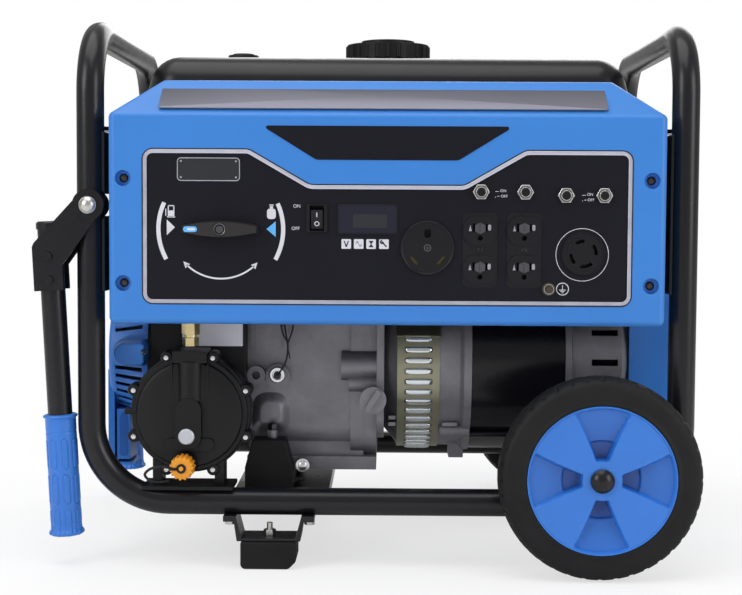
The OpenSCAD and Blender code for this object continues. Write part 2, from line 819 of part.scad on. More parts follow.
module rocker_cover() color([0.08, 0.08, 0.09]) on_frame() on_bore() {
    difference() {
        union() {
            translate([0, 0, 194]) linear_extrude(4) round_rect(108, 96, 10);
            hull() {
                translate([0, 0, 198]) linear_extrude(0.5) round_rect(98, 84, 14, $fn = 32);
                translate([0, 0, 222]) linear_extrude(0.5) round_rect(86, 72, 18, $fn = 32);
            }
        }
        hull() {
            translate([0, 0, 193]) linear_extrude(0.5) round_rect(92, 78, 12, $fn = 32);
            translate([0, 0, 219]) linear_extrude(0.5) round_rect(80, 66, 16, $fn = 32);
        }
    }
}

fan_x = [-252, case_x[0]];
duct_x = -168;

module fan_housing() color([0.07, 0.07, 0.08]) on_frame() {
    difference() {
        union() {
            rod_x(fan_x[0], fan_x[1], fan_r, crank_y, crank_z);
            // volute, and the air duct that rises to the cylinder
            side_slab(fan_x[0], fan_x[1]) polygon([[-45, 318], [30, 318], [66, 282], [67, 206],
                [-45, 206]]);
            side_slab(duct_x, fan_x[1]) polygon([[20, 318], [60, 318], [118, 300], [118, 262],
                [60, 206], [20, 206]]);
            // front shoulder above the regulator
            x_rounded(-248, fan_x[1], -157, -60, 170, 262, 12);
        }
        rod_x(fan_x[0] - 1, fan_x[1] - 3, fan_r - 3, crank_y, crank_z);
        side_slab(fan_x[0] + 3, fan_x[1] - 3) polygon([[-45, 315], [29, 315], [63, 281],
            [64, 209], [-45, 209]]);
        side_slab(duct_x + 3, fan_x[1] - 3) polygon([[20, 315], [59, 315], [115, 298],
            [115, 263], [59, 209], [20, 209]]);
        rod_x(fan_x[1] - 4, fan_x[1] + 1, 40, crank_y, crank_z);
        rod_x(duct_x - 1, fan_x[1] + 1, 15, 100, 300);
    }
}

drum_r = 84;
drum_slots = 26;

// Starter cover: rim against the fan housing, louvred drum and disc, rope boss and lower leg
module recoil_cover() color([0.16, 0.42, 0.8]) on_frame() {
    difference() {
        union() {
            turned([[fan_r - 16, fan_x[0] - 3], [fan_r - 1, fan_x[0] - 3], [fan_r - 1, fan_x[0]],
                    [fan_r - 16, fan_x[0]]]);
            turned([[drum_r - 3, -300], [drum_r, -303], [drum_r + 12, fan_x[0] - 3],
                    [drum_r + 12, fan_x[0]], [drum_r + 9, fan_x[0]], [drum_r + 9, fan_x[0] - 3],
                    [drum_r - 3, -299]]);
            // end disc with a round hub
            turned([[0, -303], [drum_r, -303], [drum_r, -299], [0, -299]]);
            turned([[0, -308], [26, -308], [30, -303], [0, -303]]);
            // rope boss on the front
            translate([-280.5, 0, 210])
                face_slab(-152, -100) round_rect(42, 31, 9);
        }
        // louvres round the drum
        for (i = [0 : drum_slots - 1])
            if (i < 18 || i > 20)
                translate([0, crank_y, crank_z]) rotate([360 * i / drum_slots, 0, 0])
                    block([-296, -3, drum_r - 6], [-266, 3, drum_r + 20]);
        // louvres in the end disc
        for (i = [0 : 11])
            translate([0, crank_y, crank_z]) rotate([30 * i, 0, 0])
                block([-304, -4, 40], [-298, 4, 70]);
        translate([0, crank_y, crank_z]) rod_x(-299, fan_x[0] + 1, 74);
        rod_y(-160, -90, 5, -274, 210);
    }
    // hub post that carries the reel
    rod_x(-299, -262, 9, crank_y, crank_z);
    // leg that braces the cover on its lower side
    difference() {
        block([-298, -110, 77], [-279, -60, 142]);
        block([-295, -107, 70], [-282, -63, 130]);
        turned([[0, -305], [drum_r + 0.5, -305], [drum_r + 0.5, -250], [0, -250]]);
    }
}

reel_r = 60;
module recoil_reel() color([0.1, 0.1, 0.1]) on_frame() {
    difference() {
        turned([[9 + run_gap, -292], [72, -292], [72, -289], [reel_r, -287], [reel_r, -269],
                [72, -267], [72, -264], [30, -264], [30, -262.5], [9 + run_gap, -262.5]]);
        for (a = [0 : 60 : 300]) translate([0, crank_y, crank_z]) rotate([a, 0, 0])
            rod_x(-293, -263, 10, 0, 40);
    }
}

module recoil_handle() color([0.14, 0.38, 0.75]) on_frame() translate([-274, 0, 210]) {
    face_slab(-178, -156) round_rect(25, 30, 8);
    rod_y(-156, -152 - clear, 9);
}

module starter_rope() color([0.1, 0.1, 0.1]) on_frame() rod_y(-152 - clear, -120, 2.5, -274, 210);

// Cast flywheel with a fan and starter cup, on the end of the crankshaft
module flywheel() color([0.5, 0.5, 0.52]) on_frame() {
    turned([[12.5, -222], [98, -222], [98, -196], [84, -196], [60, -206], [24, -206],
            [24, -186], [12.5, -186]]);
    turned([[30, -244], [46, -244], [46, -220], [30, -220]]);
    for (a = [0 : 20 : 340]) translate([0, crank_y, crank_z]) rotate([a, 0, 0])
        block([-242, -1.5, 58], [-219, 1.5, 97]);
}

// Crankshaft with its throw, and the wound rotor carried on its taper
module rotor_shaft() color([0.6, 0.45, 0.3]) on_frame() {
    rod_x(-226, -118, shaft_r, crank_y, crank_z);
    rod_x(-118, -100, 17, crank_y, crank_z);
    for (x = [-112, -72]) translate([0, crank_y, crank_z])
        side_slab(x, x + 12) translate([0, -14]) round_rect(52, 84, 24);
    rod_x(-100, -72, 11, crank_y, crank_z + 16);
    rod_x(-60, 20, shaft_r, crank_y, crank_z);
    rod_x(20, 246, 13, crank_y, crank_z);
    difference() {
        rod_x(94, 186, 62, crank_y, crank_z);
        for (a = [0, 180]) translate([0, crank_y, crank_z]) rotate([a, 0, 0])
            block([93, -34, 48], [187, 34, 70]);
    }
    for (x = [196, 206]) rod_x(x, x + 5, 20, crank_y, crank_z);
}

module carburettor() color([0.5, 0.5, 0.52]) on_frame() {
    difference() {
        union() {
            block([-196, 82, 282], [-172, 118, 318]);
            rod_x(-200, -196, 20, 100, 300);
            rod_z(258, 282, 15, -184, 100);
            rod_y(66, 82, 7, -184, 308);
        }
        rod_x(-201, -171, 9, 100, 300);
        rod_z(310, 319, 2.5 + run_gap, -190, 110);
    }
}

module choke_lever() color([0.15, 0.15, 0.16]) on_frame() {
    rod_z(311, 318.3, 2.5, -190, 110);
    block([-193, 107, 318.3], [-187, 150, 320.3]);
    rod_z(318.3, 326, 4, -190, 148);
}

module air_cleaner() color([0.07, 0.07, 0.08]) on_frame() {
    x_rounded(-276, -204, 72, 182, 262, 384, 14);
    x_rounded(-282, -276, 78, 176, 268, 378, 10);
    rod_x(-204, -200, 16, 100, 300);
    rod_z(384, 392, 9, -240, 128);
}

// Silencer can, its slotted guard and the outlet pipe
module muffler() color([0.35, 0.34, 0.33]) on_frame() {
    x_rounded(-12, 186, 92, 170, 214, 312, 30);
    rod_x(-18, -12, 18, 110, 292);
    rod_x(186, 214, 12, 150, 240);
    difference() {
        x_rounded(-4, 178, 84, 182, 206, 322, 34);
        x_rounded(-5, 179, 86, 180, 208, 320, 33);
        for (x = [14 : 16 : 160])
            face_slab(170, 190) translate([x, 264]) round_rect(7, 70, 3);
        block([-5, 80, 200], [179, 120, 330]);
    }
    for (x = [10, 164]) block([x - 6, 160, 258], [x + 6, 181, 268]);
}

// ---------------------------------------------------------------- alternator

adapter_r = 103;

module alternator_adapter() color([0.52, 0.52, 0.55]) on_frame() {
    difference() {
        union() {
            turned([[20, adapter_x], [84, adapter_x], [96, adapter_x + 10], [adapter_r, adapter_x + 14],
                    [adapter_r, stator_x - 12], [stator_r + 2, stator_x - 8],
                    [stator_r + 2, stator_x], [20, stator_x]]);
            // cast tie-rod bosses
            for (a = tie_angles) translate([0, crank_y, crank_z]) rotate([a, 0, 0])
                rod_x(stator_x - 33, stator_x - 1, 8, 0, stator_r - 1);
            // rib pairs above and below on the front
            for (z = [-70, 70], d = [0, 7], x = [[3, 10.5], [61, 77]])
                block([x[0], crank_y - 80, crank_z + z + d - 2],
                      [x[1], crank_y - 40, crank_z + z + d + 2]);
            // earth lug under the flange
            block([70, crank_y - 30, crank_z - stator_r - 8], [86, crank_y + 4, crank_z - 86]);
        }
        turned([[0, adapter_x + 18], [90, adapter_x + 18], [90, stator_x + 1], [0, stator_x + 1]]);
        rod_x(adapter_x - 1, adapter_x + 20, 22, crank_y, crank_z);
        // air windows under the band
        for (a = [0 : 30 : 330]) translate([0, crank_y, crank_z]) rotate([a + 15, 0, 0])
            block([20, -18, 80], [50, 18, 120]);
    }
}

tie_angles = [42, 138, 222, 318];
band_r = adapter_r + 0.2;
band_x = [12, 57];
band_pitch = 6.3;
band_start = 83;  // angle of the first louvre from the top, towards the front

// Steel band round the adapter with a row of long oval louvres
module vent_band() color([0.6, 0.6, 0.5]) on_frame() {
    difference() {
        crank_ring(band_x[0], band_x[1], band_r + 1.3, band_r);
        for (i = [0 : band_louvres - 1]) translate([0, crank_y, crank_z])
            rotate([band_start + band_pitch * i, 0, 0])
                translate([(band_x[0] + band_x[1]) / 2, 0, band_r - 5])
                    linear_extrude(10) round_rect(30, 6.4, 3.1);
    }
    // clamp over the band's ends
    difference() {
        translate([0, crank_y, crank_z]) rotate([68, 0, 0])
            block([band_x[0] - 1, -14, band_r - 4], [band_x[1] + 1, 14, band_r + 6]);
        rod_x(band_x[0] - 2, band_x[1] + 2, band_r + 1.3, crank_y, crank_z);
    }
}

module stator() color([0.06, 0.06, 0.07]) on_frame() {
    crank_ring(stator_x, bell_x, stator_r, 64);
    for (a = tie_angles) translate([0, crank_y, crank_z]) rotate([a, 0, 0])
        rod_x(stator_x, bell_x, 3.5, 0, stator_r + 3.5);
}

module end_bell() color([0.55, 0.55, 0.57]) on_frame() {
    difference() {
        union() {
            turned([[stator_r - 9, bell_x], [stator_r + 1, bell_x], [stator_r + 1, bell_x + 6],
                    [stator_r - 4, bell_x + 8], [stator_r - 4, end_x - 8], [stator_r - 12, end_x],
                    [13 + run_gap, end_x], [13 + run_gap, end_x - 24], [32, end_x - 24],
                    [36, end_x - 6], [stator_r - 16, end_x - 6], [stator_r - 9, end_x - 14]]);
            for (a = tie_angles) translate([0, crank_y, crank_z]) rotate([a, 0, 0])
                rod_x(bell_x, bell_x + 22, 8, 0, stator_r - 1);
            // feet
            for (y = [crank_y - 52, crank_y + 24])
                block([212, y, 85], [238, y + 28, crank_z - 90]);
        }
        // cooling slots in the front and rear flanks
        for (a = [72, 90, 108, 252, 270, 288]) translate([0, crank_y, crank_z]) rotate([a, 0, 0])
            block([bell_x + 28, -3.5, 80], [end_x - 12, 3.5, 120]);
    }
}

// Moulded cover over the end bell: a deep dished cap
module end_cover() color([0.16, 0.42, 0.8]) on_frame() {
    difference() {
        translate([0, crank_y, crank_z]) side_slab(end_x, end_x + 48) {
            round_rect(196, 196, 60);
            translate([0, 60]) square([150, 96], center = true);
        }
        translate([0, crank_y, crank_z]) side_slab(end_x - 1, end_x + 45) {
            round_rect(190, 190, 57);
            translate([0, 60]) square([144, 90], center = true);
        }
        // louvres in the outer face
        for (i = [-4 : 4]) translate([0, crank_y, crank_z])
            block([end_x + 40, -60, 12 * i - 3], [end_x + 50, 60, 12 * i + 3]);
    }
    // posts that carry the cover on the end bell
    for (y = [-56, 56], z = [-62, 62]) rod_x(end_x, end_x + 46, 6, crank_y + y, crank_z + z);
}

// ---------------------------------------------------------------- gas system

reg_at = [-202, 156];
reg_r = 62;
reg_y = [-208, -163];
lug_angles = [22, 54, 126, 158, 202, 338];

module gas_regulator() color([0.08, 0.08, 0.09]) on_frame() {
    x = reg_at[0];
    z = reg_at[1];
    difference() {
        union() {
            rod_y(-190, reg_y[1], reg_r, x, z);
            rod_y(reg_y[0] + 6, -190, reg_r - 4, x, z);
            rod_y(reg_y[0] + 2, reg_y[0] + 6, reg_r - 8, x, z);
            for (a = lug_angles) {
                rod_y(-200, -176, 6.5, x + 67 * cos(a), z + 67 * sin(a));
                translate([x, 0, z]) rotate([0, -a, 0]) block([50, -198, -6.5], [67, -178, 6.5]);
            }
            // upright gallery and its head
            face_slab(-214, -190) translate([x, z + 28]) round_rect(34, 70, 8);
            face_slab(-206, -172) translate([x, z + 62]) round_rect(42, 14, 4);
            // raised oval and lower outlet boss
            face_slab(-212, -190) translate([x, z - 22]) round_rect(34, 60, 16);
            rod_y(-216, -180, 13, x - 4, z - 51);
            // legs and base plate
            for (dx = [-36, 24]) block([x + dx, -198, 83], [x + dx + 10, -176, z - 40]);
            block([x - 48, -216, 78.5], [x + 46, -166, 83]);
        }
        rail_cutter();
    }
    // cover screws and the bright plug
    for (a = lug_angles) rod_y(-202, -200, 4, x + 67 * cos(a), z + 67 * sin(a));
    rod_y(-215.5, -212, 8.2, x - 1, z - 22);
    // gas inlet nipple under the dust cap
    rod_y(-233, -216, 6, x - 4, z - 51);
}

module dust_cap() color([0.9, 0.5, 0.1]) on_frame() translate([reg_at[0] - 4, 0, reg_at[1] - 51]) {
    difference() {
        union() {
            rod_y(-237, -216 - clear, 12);
            for (a = [0 : 24 : 336]) rotate([0, a, 0]) rod_y(-235, -219, 1.4, 11.8, 0);
            rod_y(-240, -237, 4);
        }
        rod_y(-233 - clear, -210, 6 + run_gap);
    }
}

module gas_fitting() color([0.8, 0.65, 0.3]) on_frame() translate([reg_at[0], -189, 0]) {
    difference() {
        union() {
            translate([0, 0, 225]) cylinder(r = 8.6, h = 9, $fn = 6);
            rod_z(234, 237, 6.5);
            translate([0, 0, 237]) cylinder(r = 9.4, h = 14, $fn = 6);
            rod_z(251, 262, 5);
        }
        rod_z(226, 263, 3);
    }
}

// Route of the gas hose from the regulator over the fan housing to the carburettor
hose_route = [[-202, -189, 262], [-202, -189, 271], [-203, -146, 271], [-204, -114, 312],
    [-206, -62, 328], [-206, 20, 328], [-190, 48, 322], [-184, 56, 308], [-184, 66, 308]];

module gas_hose() color([0.06, 0.06, 0.06]) on_frame() swept_tube(smooth_route(hose_route, 4), 6);

// ---------------------------------------------------------------- wheels

hub_y = wheel_w + 1.5;

// Moulded rim, outer face at y = 0 and inner face at y = wheel_w, axis along Y
module wheel_rim() {
    difference() {
        rotate([-90, 0, 0]) rotate_extrude() polygon([[axle_r + run_gap, 0], [20, 0], [22, 2],
            [rim_r - 6, 2], [rim_r - 4, 0], [rim_r, 0], [rim_r, wheel_w], [rim_r - 5, wheel_w],
            [rim_r - 7, 18], [20, 18], [18, hub_y], [axle_r + run_gap, hub_y]]);
        // four pockets between the raised sectors
        for (a = [0, 90, 180, 270]) rotate([0, a, 0]) face_slab(-1, 14)
            polygon([[-8.5, 21], [8.5, 21], [27, rim_r - 9], [13, rim_r - 5], [0, rim_r - 4],
                     [-13, rim_r - 5], [-27, rim_r - 9]]);
    }
}

module tyre() {
    rotate([-90, 0, 0]) rotate_extrude() polygon([[rim_r, 1], [rim_r + 6, 0], [tyre_r - 10, 0.6],
        [tyre_r - 4, 3], [tyre_r - 1, 7], [tyre_r, 13], [tyre_r, wheel_w - 13],
        [tyre_r - 1, wheel_w - 7], [tyre_r - 4, wheel_w - 3], [tyre_r - 10, wheel_w - 0.6],
        [rim_r + 6, wheel_w], [rim_r, wheel_w - 1]]);
}

module at_front_wheel() on_frame() translate([wheel_x, -wheel_out_y, tyre_r]) children();
module at_rear_wheel() on_frame() mirror([0, 1, 0]) translate([wheel_x, -wheel_out_y, tyre_r]) children();

module wheel_rim_front() color([0.2, 0.5, 0.85]) at_front_wheel() wheel_rim();
module tyre_front() color([0.08, 0.08, 0.08]) at_front_wheel() tyre();
module wheel_rim_rear() color([0.2, 0.5, 0.85]) at_rear_wheel() wheel_rim();
module tyre_rear() color([0.08, 0.08, 0.08]) at_rear_wheel() tyre();

// ---------------------------------------------------------------- handles

arm_offset = 43.5;   // tube axis from the pivot, square to the tube
arm_top = 14.5;      // end of the tube below the pivot
arm_end = 338;
grip_top = 213;
cheek = 3;
cheek_gap = tube_r + 0.4;

// Handle frame: origin at the pivot, -Z along the tube, -X away from the post
module on_pivot() {
    on_frame() translate([-post_x, -loop_y, pivot_z]) rotate([0, -lean, 0]) children();
}

module handle_arm() {
    // two cheeks astride the post
    for (s = [-1, 1]) difference() {
        face_slab(s > 0 ? cheek_gap : -cheek_gap - cheek, s > 0 ? cheek_gap + cheek : -cheek_gap) {
            circle(16);
            polygon([[-5, 15.2], [-arm_offset - 13.5, -36], [-arm_offset - 15.5, -40],
                     [-arm_offset - 15.5, -85], [-arm_offset + 14, -85], [-arm_offset + 14, -60],
                     [8, -13.8], [0, 0]]);
        }
        rod_y(-cheek_gap - 9, cheek_gap + 9, 4 + run_gap);
    }
    // web that joins the cheeks behind the tube
    block([-arm_offset - 15.5, -cheek_gap, -85], [-arm_offset - 12.5, cheek_gap, -40]);
    // tube with its plug
    difference() {
        rod_z(-arm_end + 4, -arm_top - 8, handle_r, -arm_offset, 0);
        rod_z(-arm_end + 2, -arm_top - 7, handle_r - 2, -arm_offset, 0);
    }
    rod_z(-arm_top - 8, -arm_top - 2, handle_r + 1.2, -arm_offset, 0);
    translate([-arm_offset, 0, -arm_top - 2]) cylinder(r1 = handle_r + 1.2, r2 = handle_r - 0.8, h = 2);
    // cross bolts that clamp the tube
    for (z = [-50, -74]) for (s = [-1, 1])
        rod_y(s > 0 ? handle_r - 1 : -cheek_gap - cheek - 3, s > 0 ? cheek_gap + cheek + 3 : 1 - handle_r,
              4.5, -arm_offset, z);
}

module handle_grip() {
    difference() {
        union() {
            rod_z(-arm_end, -grip_top, 16.5, -arm_offset, 0);
            rod_z(-grip_top - 7, -grip_top, 17.8, -arm_offset, 0);
            rod_z(-arm_end, -arm_end + 6, 17.8, -arm_offset, 0);
        }
        rod_z(-arm_end + 4, -grip_top + 1, handle_r, -arm_offset, 0);
    }
}

module handle_arm_front() color([0.08, 0.08, 0.09]) on_pivot() handle_arm();
module handle_grip_front() color([0.2, 0.5, 0.85]) on_pivot() handle_grip();
module handle_arm_rear() color([0.08, 0.08, 0.09]) mirror([0, 1, 0]) on_pivot() handle_arm();
module handle_grip_rear() color([0.2, 0.5, 0.85]) mirror([0, 1, 0]) on_pivot() handle_grip();

front_frame_tube();
rear_frame_tube();
base_crossmembers();
wheel_axles();
foot_brackets();
foot_pads();
frame_bolts();
engine_mounts();
fuel_tank();
fuel_gauge();
control_box();
panel_surround();
control_plate();
panel_fasteners();
duplex_outlets();
round_outlets();
breakers();
switch_housing();
hour_meter();
crankcase();
crankcase_cover();
cylinder_head();
rocker_cover();
fan_housing();
recoil_cover();
carburettor();
air_cleaner();
muffler();
alternator_adapter();
vent_band();
stator();
end_bell();
end_cover();
gas_regulator();
gas_fitting();
gas_hose();
wheel_rim_front();
tyre_front();
wheel_rim_rear();
tyre_rear();
handle_arm_front();
handle_grip_front();
handle_arm_rear();
handle_grip_rear();
fuel_selector();
engine_switch();
breaker_button_1();
breaker_button_2();
breaker_button_3();
breaker_button_4();
fuel_cap();
cap_core();
oil_cap();
dust_cap();
recoil_handle();
starter_rope();
recoil_reel();
flywheel();
rotor_shaft();
choke_lever();
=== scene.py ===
import json
from math import cos, pi, radians, sin, tau

import bmesh
import bpy
import numpy as np
from mathutils import Matrix, Vector


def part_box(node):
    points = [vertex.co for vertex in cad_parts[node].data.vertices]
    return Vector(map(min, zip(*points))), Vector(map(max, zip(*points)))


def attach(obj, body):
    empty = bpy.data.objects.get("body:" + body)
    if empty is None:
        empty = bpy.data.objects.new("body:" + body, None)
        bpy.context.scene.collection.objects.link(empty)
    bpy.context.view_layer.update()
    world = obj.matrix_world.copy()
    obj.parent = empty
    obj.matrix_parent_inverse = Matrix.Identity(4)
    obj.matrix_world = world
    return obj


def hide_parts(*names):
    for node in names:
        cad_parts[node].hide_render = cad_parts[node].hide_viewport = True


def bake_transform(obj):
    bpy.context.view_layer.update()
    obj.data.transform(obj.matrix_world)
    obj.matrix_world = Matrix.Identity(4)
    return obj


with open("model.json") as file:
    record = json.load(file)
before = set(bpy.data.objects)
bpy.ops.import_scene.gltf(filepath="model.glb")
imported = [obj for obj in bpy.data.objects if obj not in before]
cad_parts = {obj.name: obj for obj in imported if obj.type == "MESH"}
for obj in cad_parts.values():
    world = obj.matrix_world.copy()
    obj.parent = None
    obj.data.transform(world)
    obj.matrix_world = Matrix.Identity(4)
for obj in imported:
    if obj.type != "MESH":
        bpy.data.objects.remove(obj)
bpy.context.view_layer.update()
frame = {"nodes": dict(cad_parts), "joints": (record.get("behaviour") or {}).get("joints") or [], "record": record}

record = frame["record"]

# ---------------------------------------------------------------- studio
# A pale floor that fades to white away from the machine, and large soft lamps.
# The camera stands square to the control panel, a little above the wheels.

scene = bpy.context.scene
scene.view_settings.view_transform = "Standard"

eye = bpy.data.cameras.new("eye")
eye.sensor_width = 36.0
eye.lens = 74.062
eye_object = bpy.data.objects.new("eye", eye)
scene.collection.objects.link(eye_object)
yaw, pitch, roll = 0.0098, 0.0597, 0.0057
look = Vector((-sin(yaw) * cos(pitch), cos(yaw) * cos(pitch), -sin(pitch)))
level = Vector((cos(yaw), sin(yaw), 0.0))
upright = level.cross(look)
side = cos(roll) * level + sin(roll) * upright
top = -sin(roll) * level + cos(roll) * upright
eye_object.matrix_world = Matrix((
    (side.x, top.x, -look.x, 0.0209),
    (side.y, top.y, -look.y, -1.7598),
    (side.z, top.z, -look.z, 0.3702),
    (0.0, 0.0, 0.0, 1.0)))
scene.camera = eye_object


class Link:
    """One shader output. Arithmetic on it adds Math nodes and gives another Link."""

    def __init__(self, coat, socket):
        self.coat, self.socket = coat, socket

    def math(self, operation, a, b=0.0, clamp=False):
        settings = {"operation": operation, "use_clamp": clamp}
        return self.coat.add("ShaderNodeMath", settings, {0: a, 1: b})

    def __add__(self, other):
        return self.math("ADD", self, other)

    def __sub__(self, other):
        return self.math("SUBTRACT", self, other)

    def __rsub__(self, other):
        return self.math("SUBTRACT", other, self)

    def __mul__(self, other):
        return self.math("MULTIPLY", self, other)

    def __truediv__(self, other):
        return self.math("DIVIDE", self, other)

    def __pow__(self, other):
        return self.math("POWER", self, other)

    __radd__ = __add__
    __rmul__ = __mul__

    def over(self, edge, soft):
        """1 where this is above edge, 0 below, with a ramp soft wide between them."""
        return self.math("ADD", (self - edge) / soft, 0.5, clamp=True)

    def size(self):
        return self.math("ABSOLUTE", self)


class Coat:
    """One material. add() makes any node; the other methods are the patterns this machine needs."""

    def __init__(self, name):
        self.material = bpy.data.materials.new(name)
        self.material.use_nodes = True
        self.tree = self.material.node_tree
        self.tree.nodes.clear()
        self.place = self.add("ShaderNodeTexCoord", out="Object")

    def add(self, kind, settings=None, values=None, out=0):
        node = self.tree.nodes.new(kind)
        for key, value in (settings or {}).items():
            setattr(node, key, value)
        for key, value in (values or {}).items():
            if isinstance(value, Link):
                self.tree.links.new(value.socket, node.inputs[key])
            elif isinstance(value, tuple) and len(value) == 3 and node.inputs[key].type == "RGBA":
                node.inputs[key].default_value = (*value, 1.0)
            else:
                node.inputs[key].default_value = value
        return Link(self, node.outputs[out]) if node.outputs else None

    def speckle(self, scale, detail=2.0, rough=0.5, place=None):
        """Noise from 0 to 1 over the place, scale in lumps per metre."""
        values = {"Vector": place or self.place, "Scale": scale, "Detail": detail,
                  "Roughness": rough}
        return self.add("ShaderNodeTexNoise", None, values)

    def stretched(self, x, y, z):
        """The place with each axis multiplied, for grain that runs one way."""
        return self.add("ShaderNodeMapping", None, {"Vector": self.place, "Scale": (x, y, z)})

    def axes(self, place=None):
        """The three coordinates of the place as separate Links."""
        first = self.add("ShaderNodeSeparateXYZ", None, {0: place or self.place})
        node = first.socket.node
        return [Link(self, node.outputs[i]) for i in range(3)]

    def blend(self, fac, a, b):
        """Colour a where fac is 0, colour b where it is 1."""
        node = self.tree.nodes.new("ShaderNodeMix")
        node.data_type = "RGBA"
        for index, value in ((0, fac), (6, a), (7, b)):
            if isinstance(value, Link):
                self.tree.links.new(value.socket, node.inputs[index])
            elif index:
                node.inputs[index].default_value = (*value, 1.0)
            else:
                node.inputs[index].default_value = value
        return Link(self, node.outputs[2])

    def relief(self, height, depth):
        """Bump from a 0 to 1 height, depth in metres."""
        return self.add("ShaderNodeBump", None,
                        {"Height": height, "Distance": depth, "Strength": 1.0})

    def done(self, **values):
        """Principled surface with the given sockets, keys written with _ for spaces."""
        named = {key.replace("_", " "): value for key, value in values.items()}
        surface = self.add("ShaderNodeBsdfPrincipled", None, named)
        self.add("ShaderNodeOutputMaterial", None, {"Surface": surface})
        return self.material


def area_lamp(name, place, aim, width, height, watts):
    """Soft rectangular lamp at a place, turned to its aim."""
    lamp = bpy.data.lights.new(name, "AREA")
    lamp.shape = "RECTANGLE"
    lamp.size, lamp.size_y, lamp.energy = width, height, watts
    lamp_object = bpy.data.objects.new(name, lamp)
    scene.collection.objects.link(lamp_object)
    lamp_object.location = place
    lamp_object.rotation_euler = (Vector(aim) - Vector(place)).to_track_quat("-Z", "Y").to_euler()


area_lamp("overhead", (-0.3, -0.5, 2.7), (0.0, 0.0, 0.3), 2.6, 2.0, 38)
area_lamp("left_front", (-2.1, -2.0, 1.5), (0.0, 0.0, 0.3), 1.2, 1.8, 34)
area_lamp("right_front", (2.3, -1.7, 1.1), (0.0, 0.0, 0.3), 1.2, 1.8, 26)
area_lamp("behind", (0.6, 2.6, 1.8), (0.0, 0.0, 0.3), 2.4, 1.6, 40)

world = bpy.data.worlds.new("studio_air")
scene.world = world
world.use_nodes = True
air = world.node_tree
air.nodes.clear()
ray = air.nodes.new("ShaderNodeLightPath")
seen = air.nodes.new("ShaderNodeMath")
seen.operation = "MAXIMUM"
air.links.new(ray.outputs["Is Camera Ray"], seen.inputs[0])
air.links.new(ray.outputs["Is Transmission Ray"], seen.inputs[1])
strength = air.nodes.new("ShaderNodeMapRange")
air.links.new(seen.outputs[0], strength.inputs["Value"])
strength.inputs["To Min"].default_value = 0.42
strength.inputs["To Max"].default_value = 1.0
sky = air.nodes.new("ShaderNodeBackground")
air.links.new(strength.outputs[0], sky.inputs["Strength"])
sky.inputs["Color"].default_value = (1.0, 1.0, 1.0, 1.0)
ground = air.nodes.new("ShaderNodeOutputWorld")
air.links.new(sky.outputs[0], ground.inputs["Surface"])


def grid_mesh(name, points, closed_u=False, closed_v=False):
    """Mesh through a grid of points [u, v, xyz], joined along u and v and round where closed."""
    rows, columns = points.shape[:2]
    index = np.arange(rows * columns).reshape(rows, columns)
    if closed_u:
        index = np.vstack([index, index[:1]])
    if closed_v:
        index = np.hstack([index, index[:, :1]])
    quads = np.stack([index[:-1, :-1], index[1:, :-1], index[1:, 1:], index[:-1, 1:]], -1)
    mesh = bpy.data.meshes.new(name)
    mesh.from_pydata(points.reshape(-1, 3).tolist(), [], quads.reshape(-1, 4).tolist())
    mesh.shade_smooth()
    return mesh


floor_half = 14.0
corners = np.array([[[x, y, -0.0005] for y in (-floor_half, floor_half)]
                    for x in (-floor_half, floor_half)])
floor = bpy.data.objects.new("studio_floor", grid_mesh("studio_floor", corners))
scene.collection.objects.link(floor)
paper = Coat("paper_floor")
across, along, _ = paper.axes()
reach = ((across ** 2.0) + (along ** 2.0)) ** 0.5
far = reach.over(1.0, 0.9)
white = paper.add("ShaderNodeEmission", None, {"Color": (1.0, 1.0, 1.0), "Strength": 1.0})
card = paper.add("ShaderNodeBsdfDiffuse", None, {"Color": (0.9, 0.9, 0.9)})
rays = paper.add("ShaderNodeLightPath", out="Is Camera Ray")
lift = rays * (far * 0.35 + 0.65)
surface = paper.add("ShaderNodeMixShader", None, {0: lift, 1: card, 2: white})
paper.add("ShaderNodeOutputMaterial", None, {"Surface": surface})
floor.data.materials.append(paper.material)

# ---------------------------------------------------------------- frame tubes
# Two loops of steel tube, bent, butt welded under the tank and powder coated gloss black.
# Each carries two welded shelf plates for the corners of the tank.

body_of = {n: b for b, names in record["behaviour"]["bodies"].items() for n in names}


def placed(name, mesh, material, body, stands_for=()):
    """Puts a finished mesh in the scene as a piece of the machine."""
    piece = bpy.data.objects.new(name, mesh)
    scene.collection.objects.link(piece)
    mesh.materials.clear()
    mesh.materials.append(material)
    if body:
        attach(piece, body)
    if stands_for:
        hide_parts(*stands_for)
    return piece


def edge_round(piece, width, angle=36.0, segments=2):
    """Breaks the piece's hard edges with a small round."""
    round_off = piece.modifiers.new("edge_round", "BEVEL")
    round_off.width, round_off.segments = width, segments
    round_off.limit_method, round_off.angle_limit = "ANGLE", radians(angle)
    round_off.harden_normals = True
    round_off.miter_outer = "MITER_ARC"


def joined_up(mesh, hard=36.0):
    """Joins loose triangles, merges flat neighbours and marks edges sharper than hard degrees."""
    work = bmesh.new()
    work.from_mesh(mesh)
    bmesh.ops.remove_doubles(work, verts=work.verts, dist=1e-5)
    bmesh.ops.dissolve_limit(work, angle_limit=radians(0.4), verts=work.verts, edges=work.edges)
    for edge in work.edges:
        edge.smooth = len(edge.link_faces) != 2 or edge.calc_face_angle(0.0) < radians(hard)
    for face in work.faces:
        face.smooth = True
    work.to_mesh(mesh)
    work.free()


def finished(node, material, width=0.0006, hard=36.0, segments=2):
    """The node's own solid with broken edges and smooth rounds, in place of the plain node."""
    mesh = frame["nodes"][node].data.copy()
    joined_up(mesh, hard)
    piece = placed(node + "_piece", mesh, material, body_of[node], (node,))
    if width:
        edge_round(piece, width, hard, segments)
    flat = piece.modifiers.new("flat_stays_flat", "WEIGHTED_NORMAL")
    flat.keep_sharp = True
    return piece


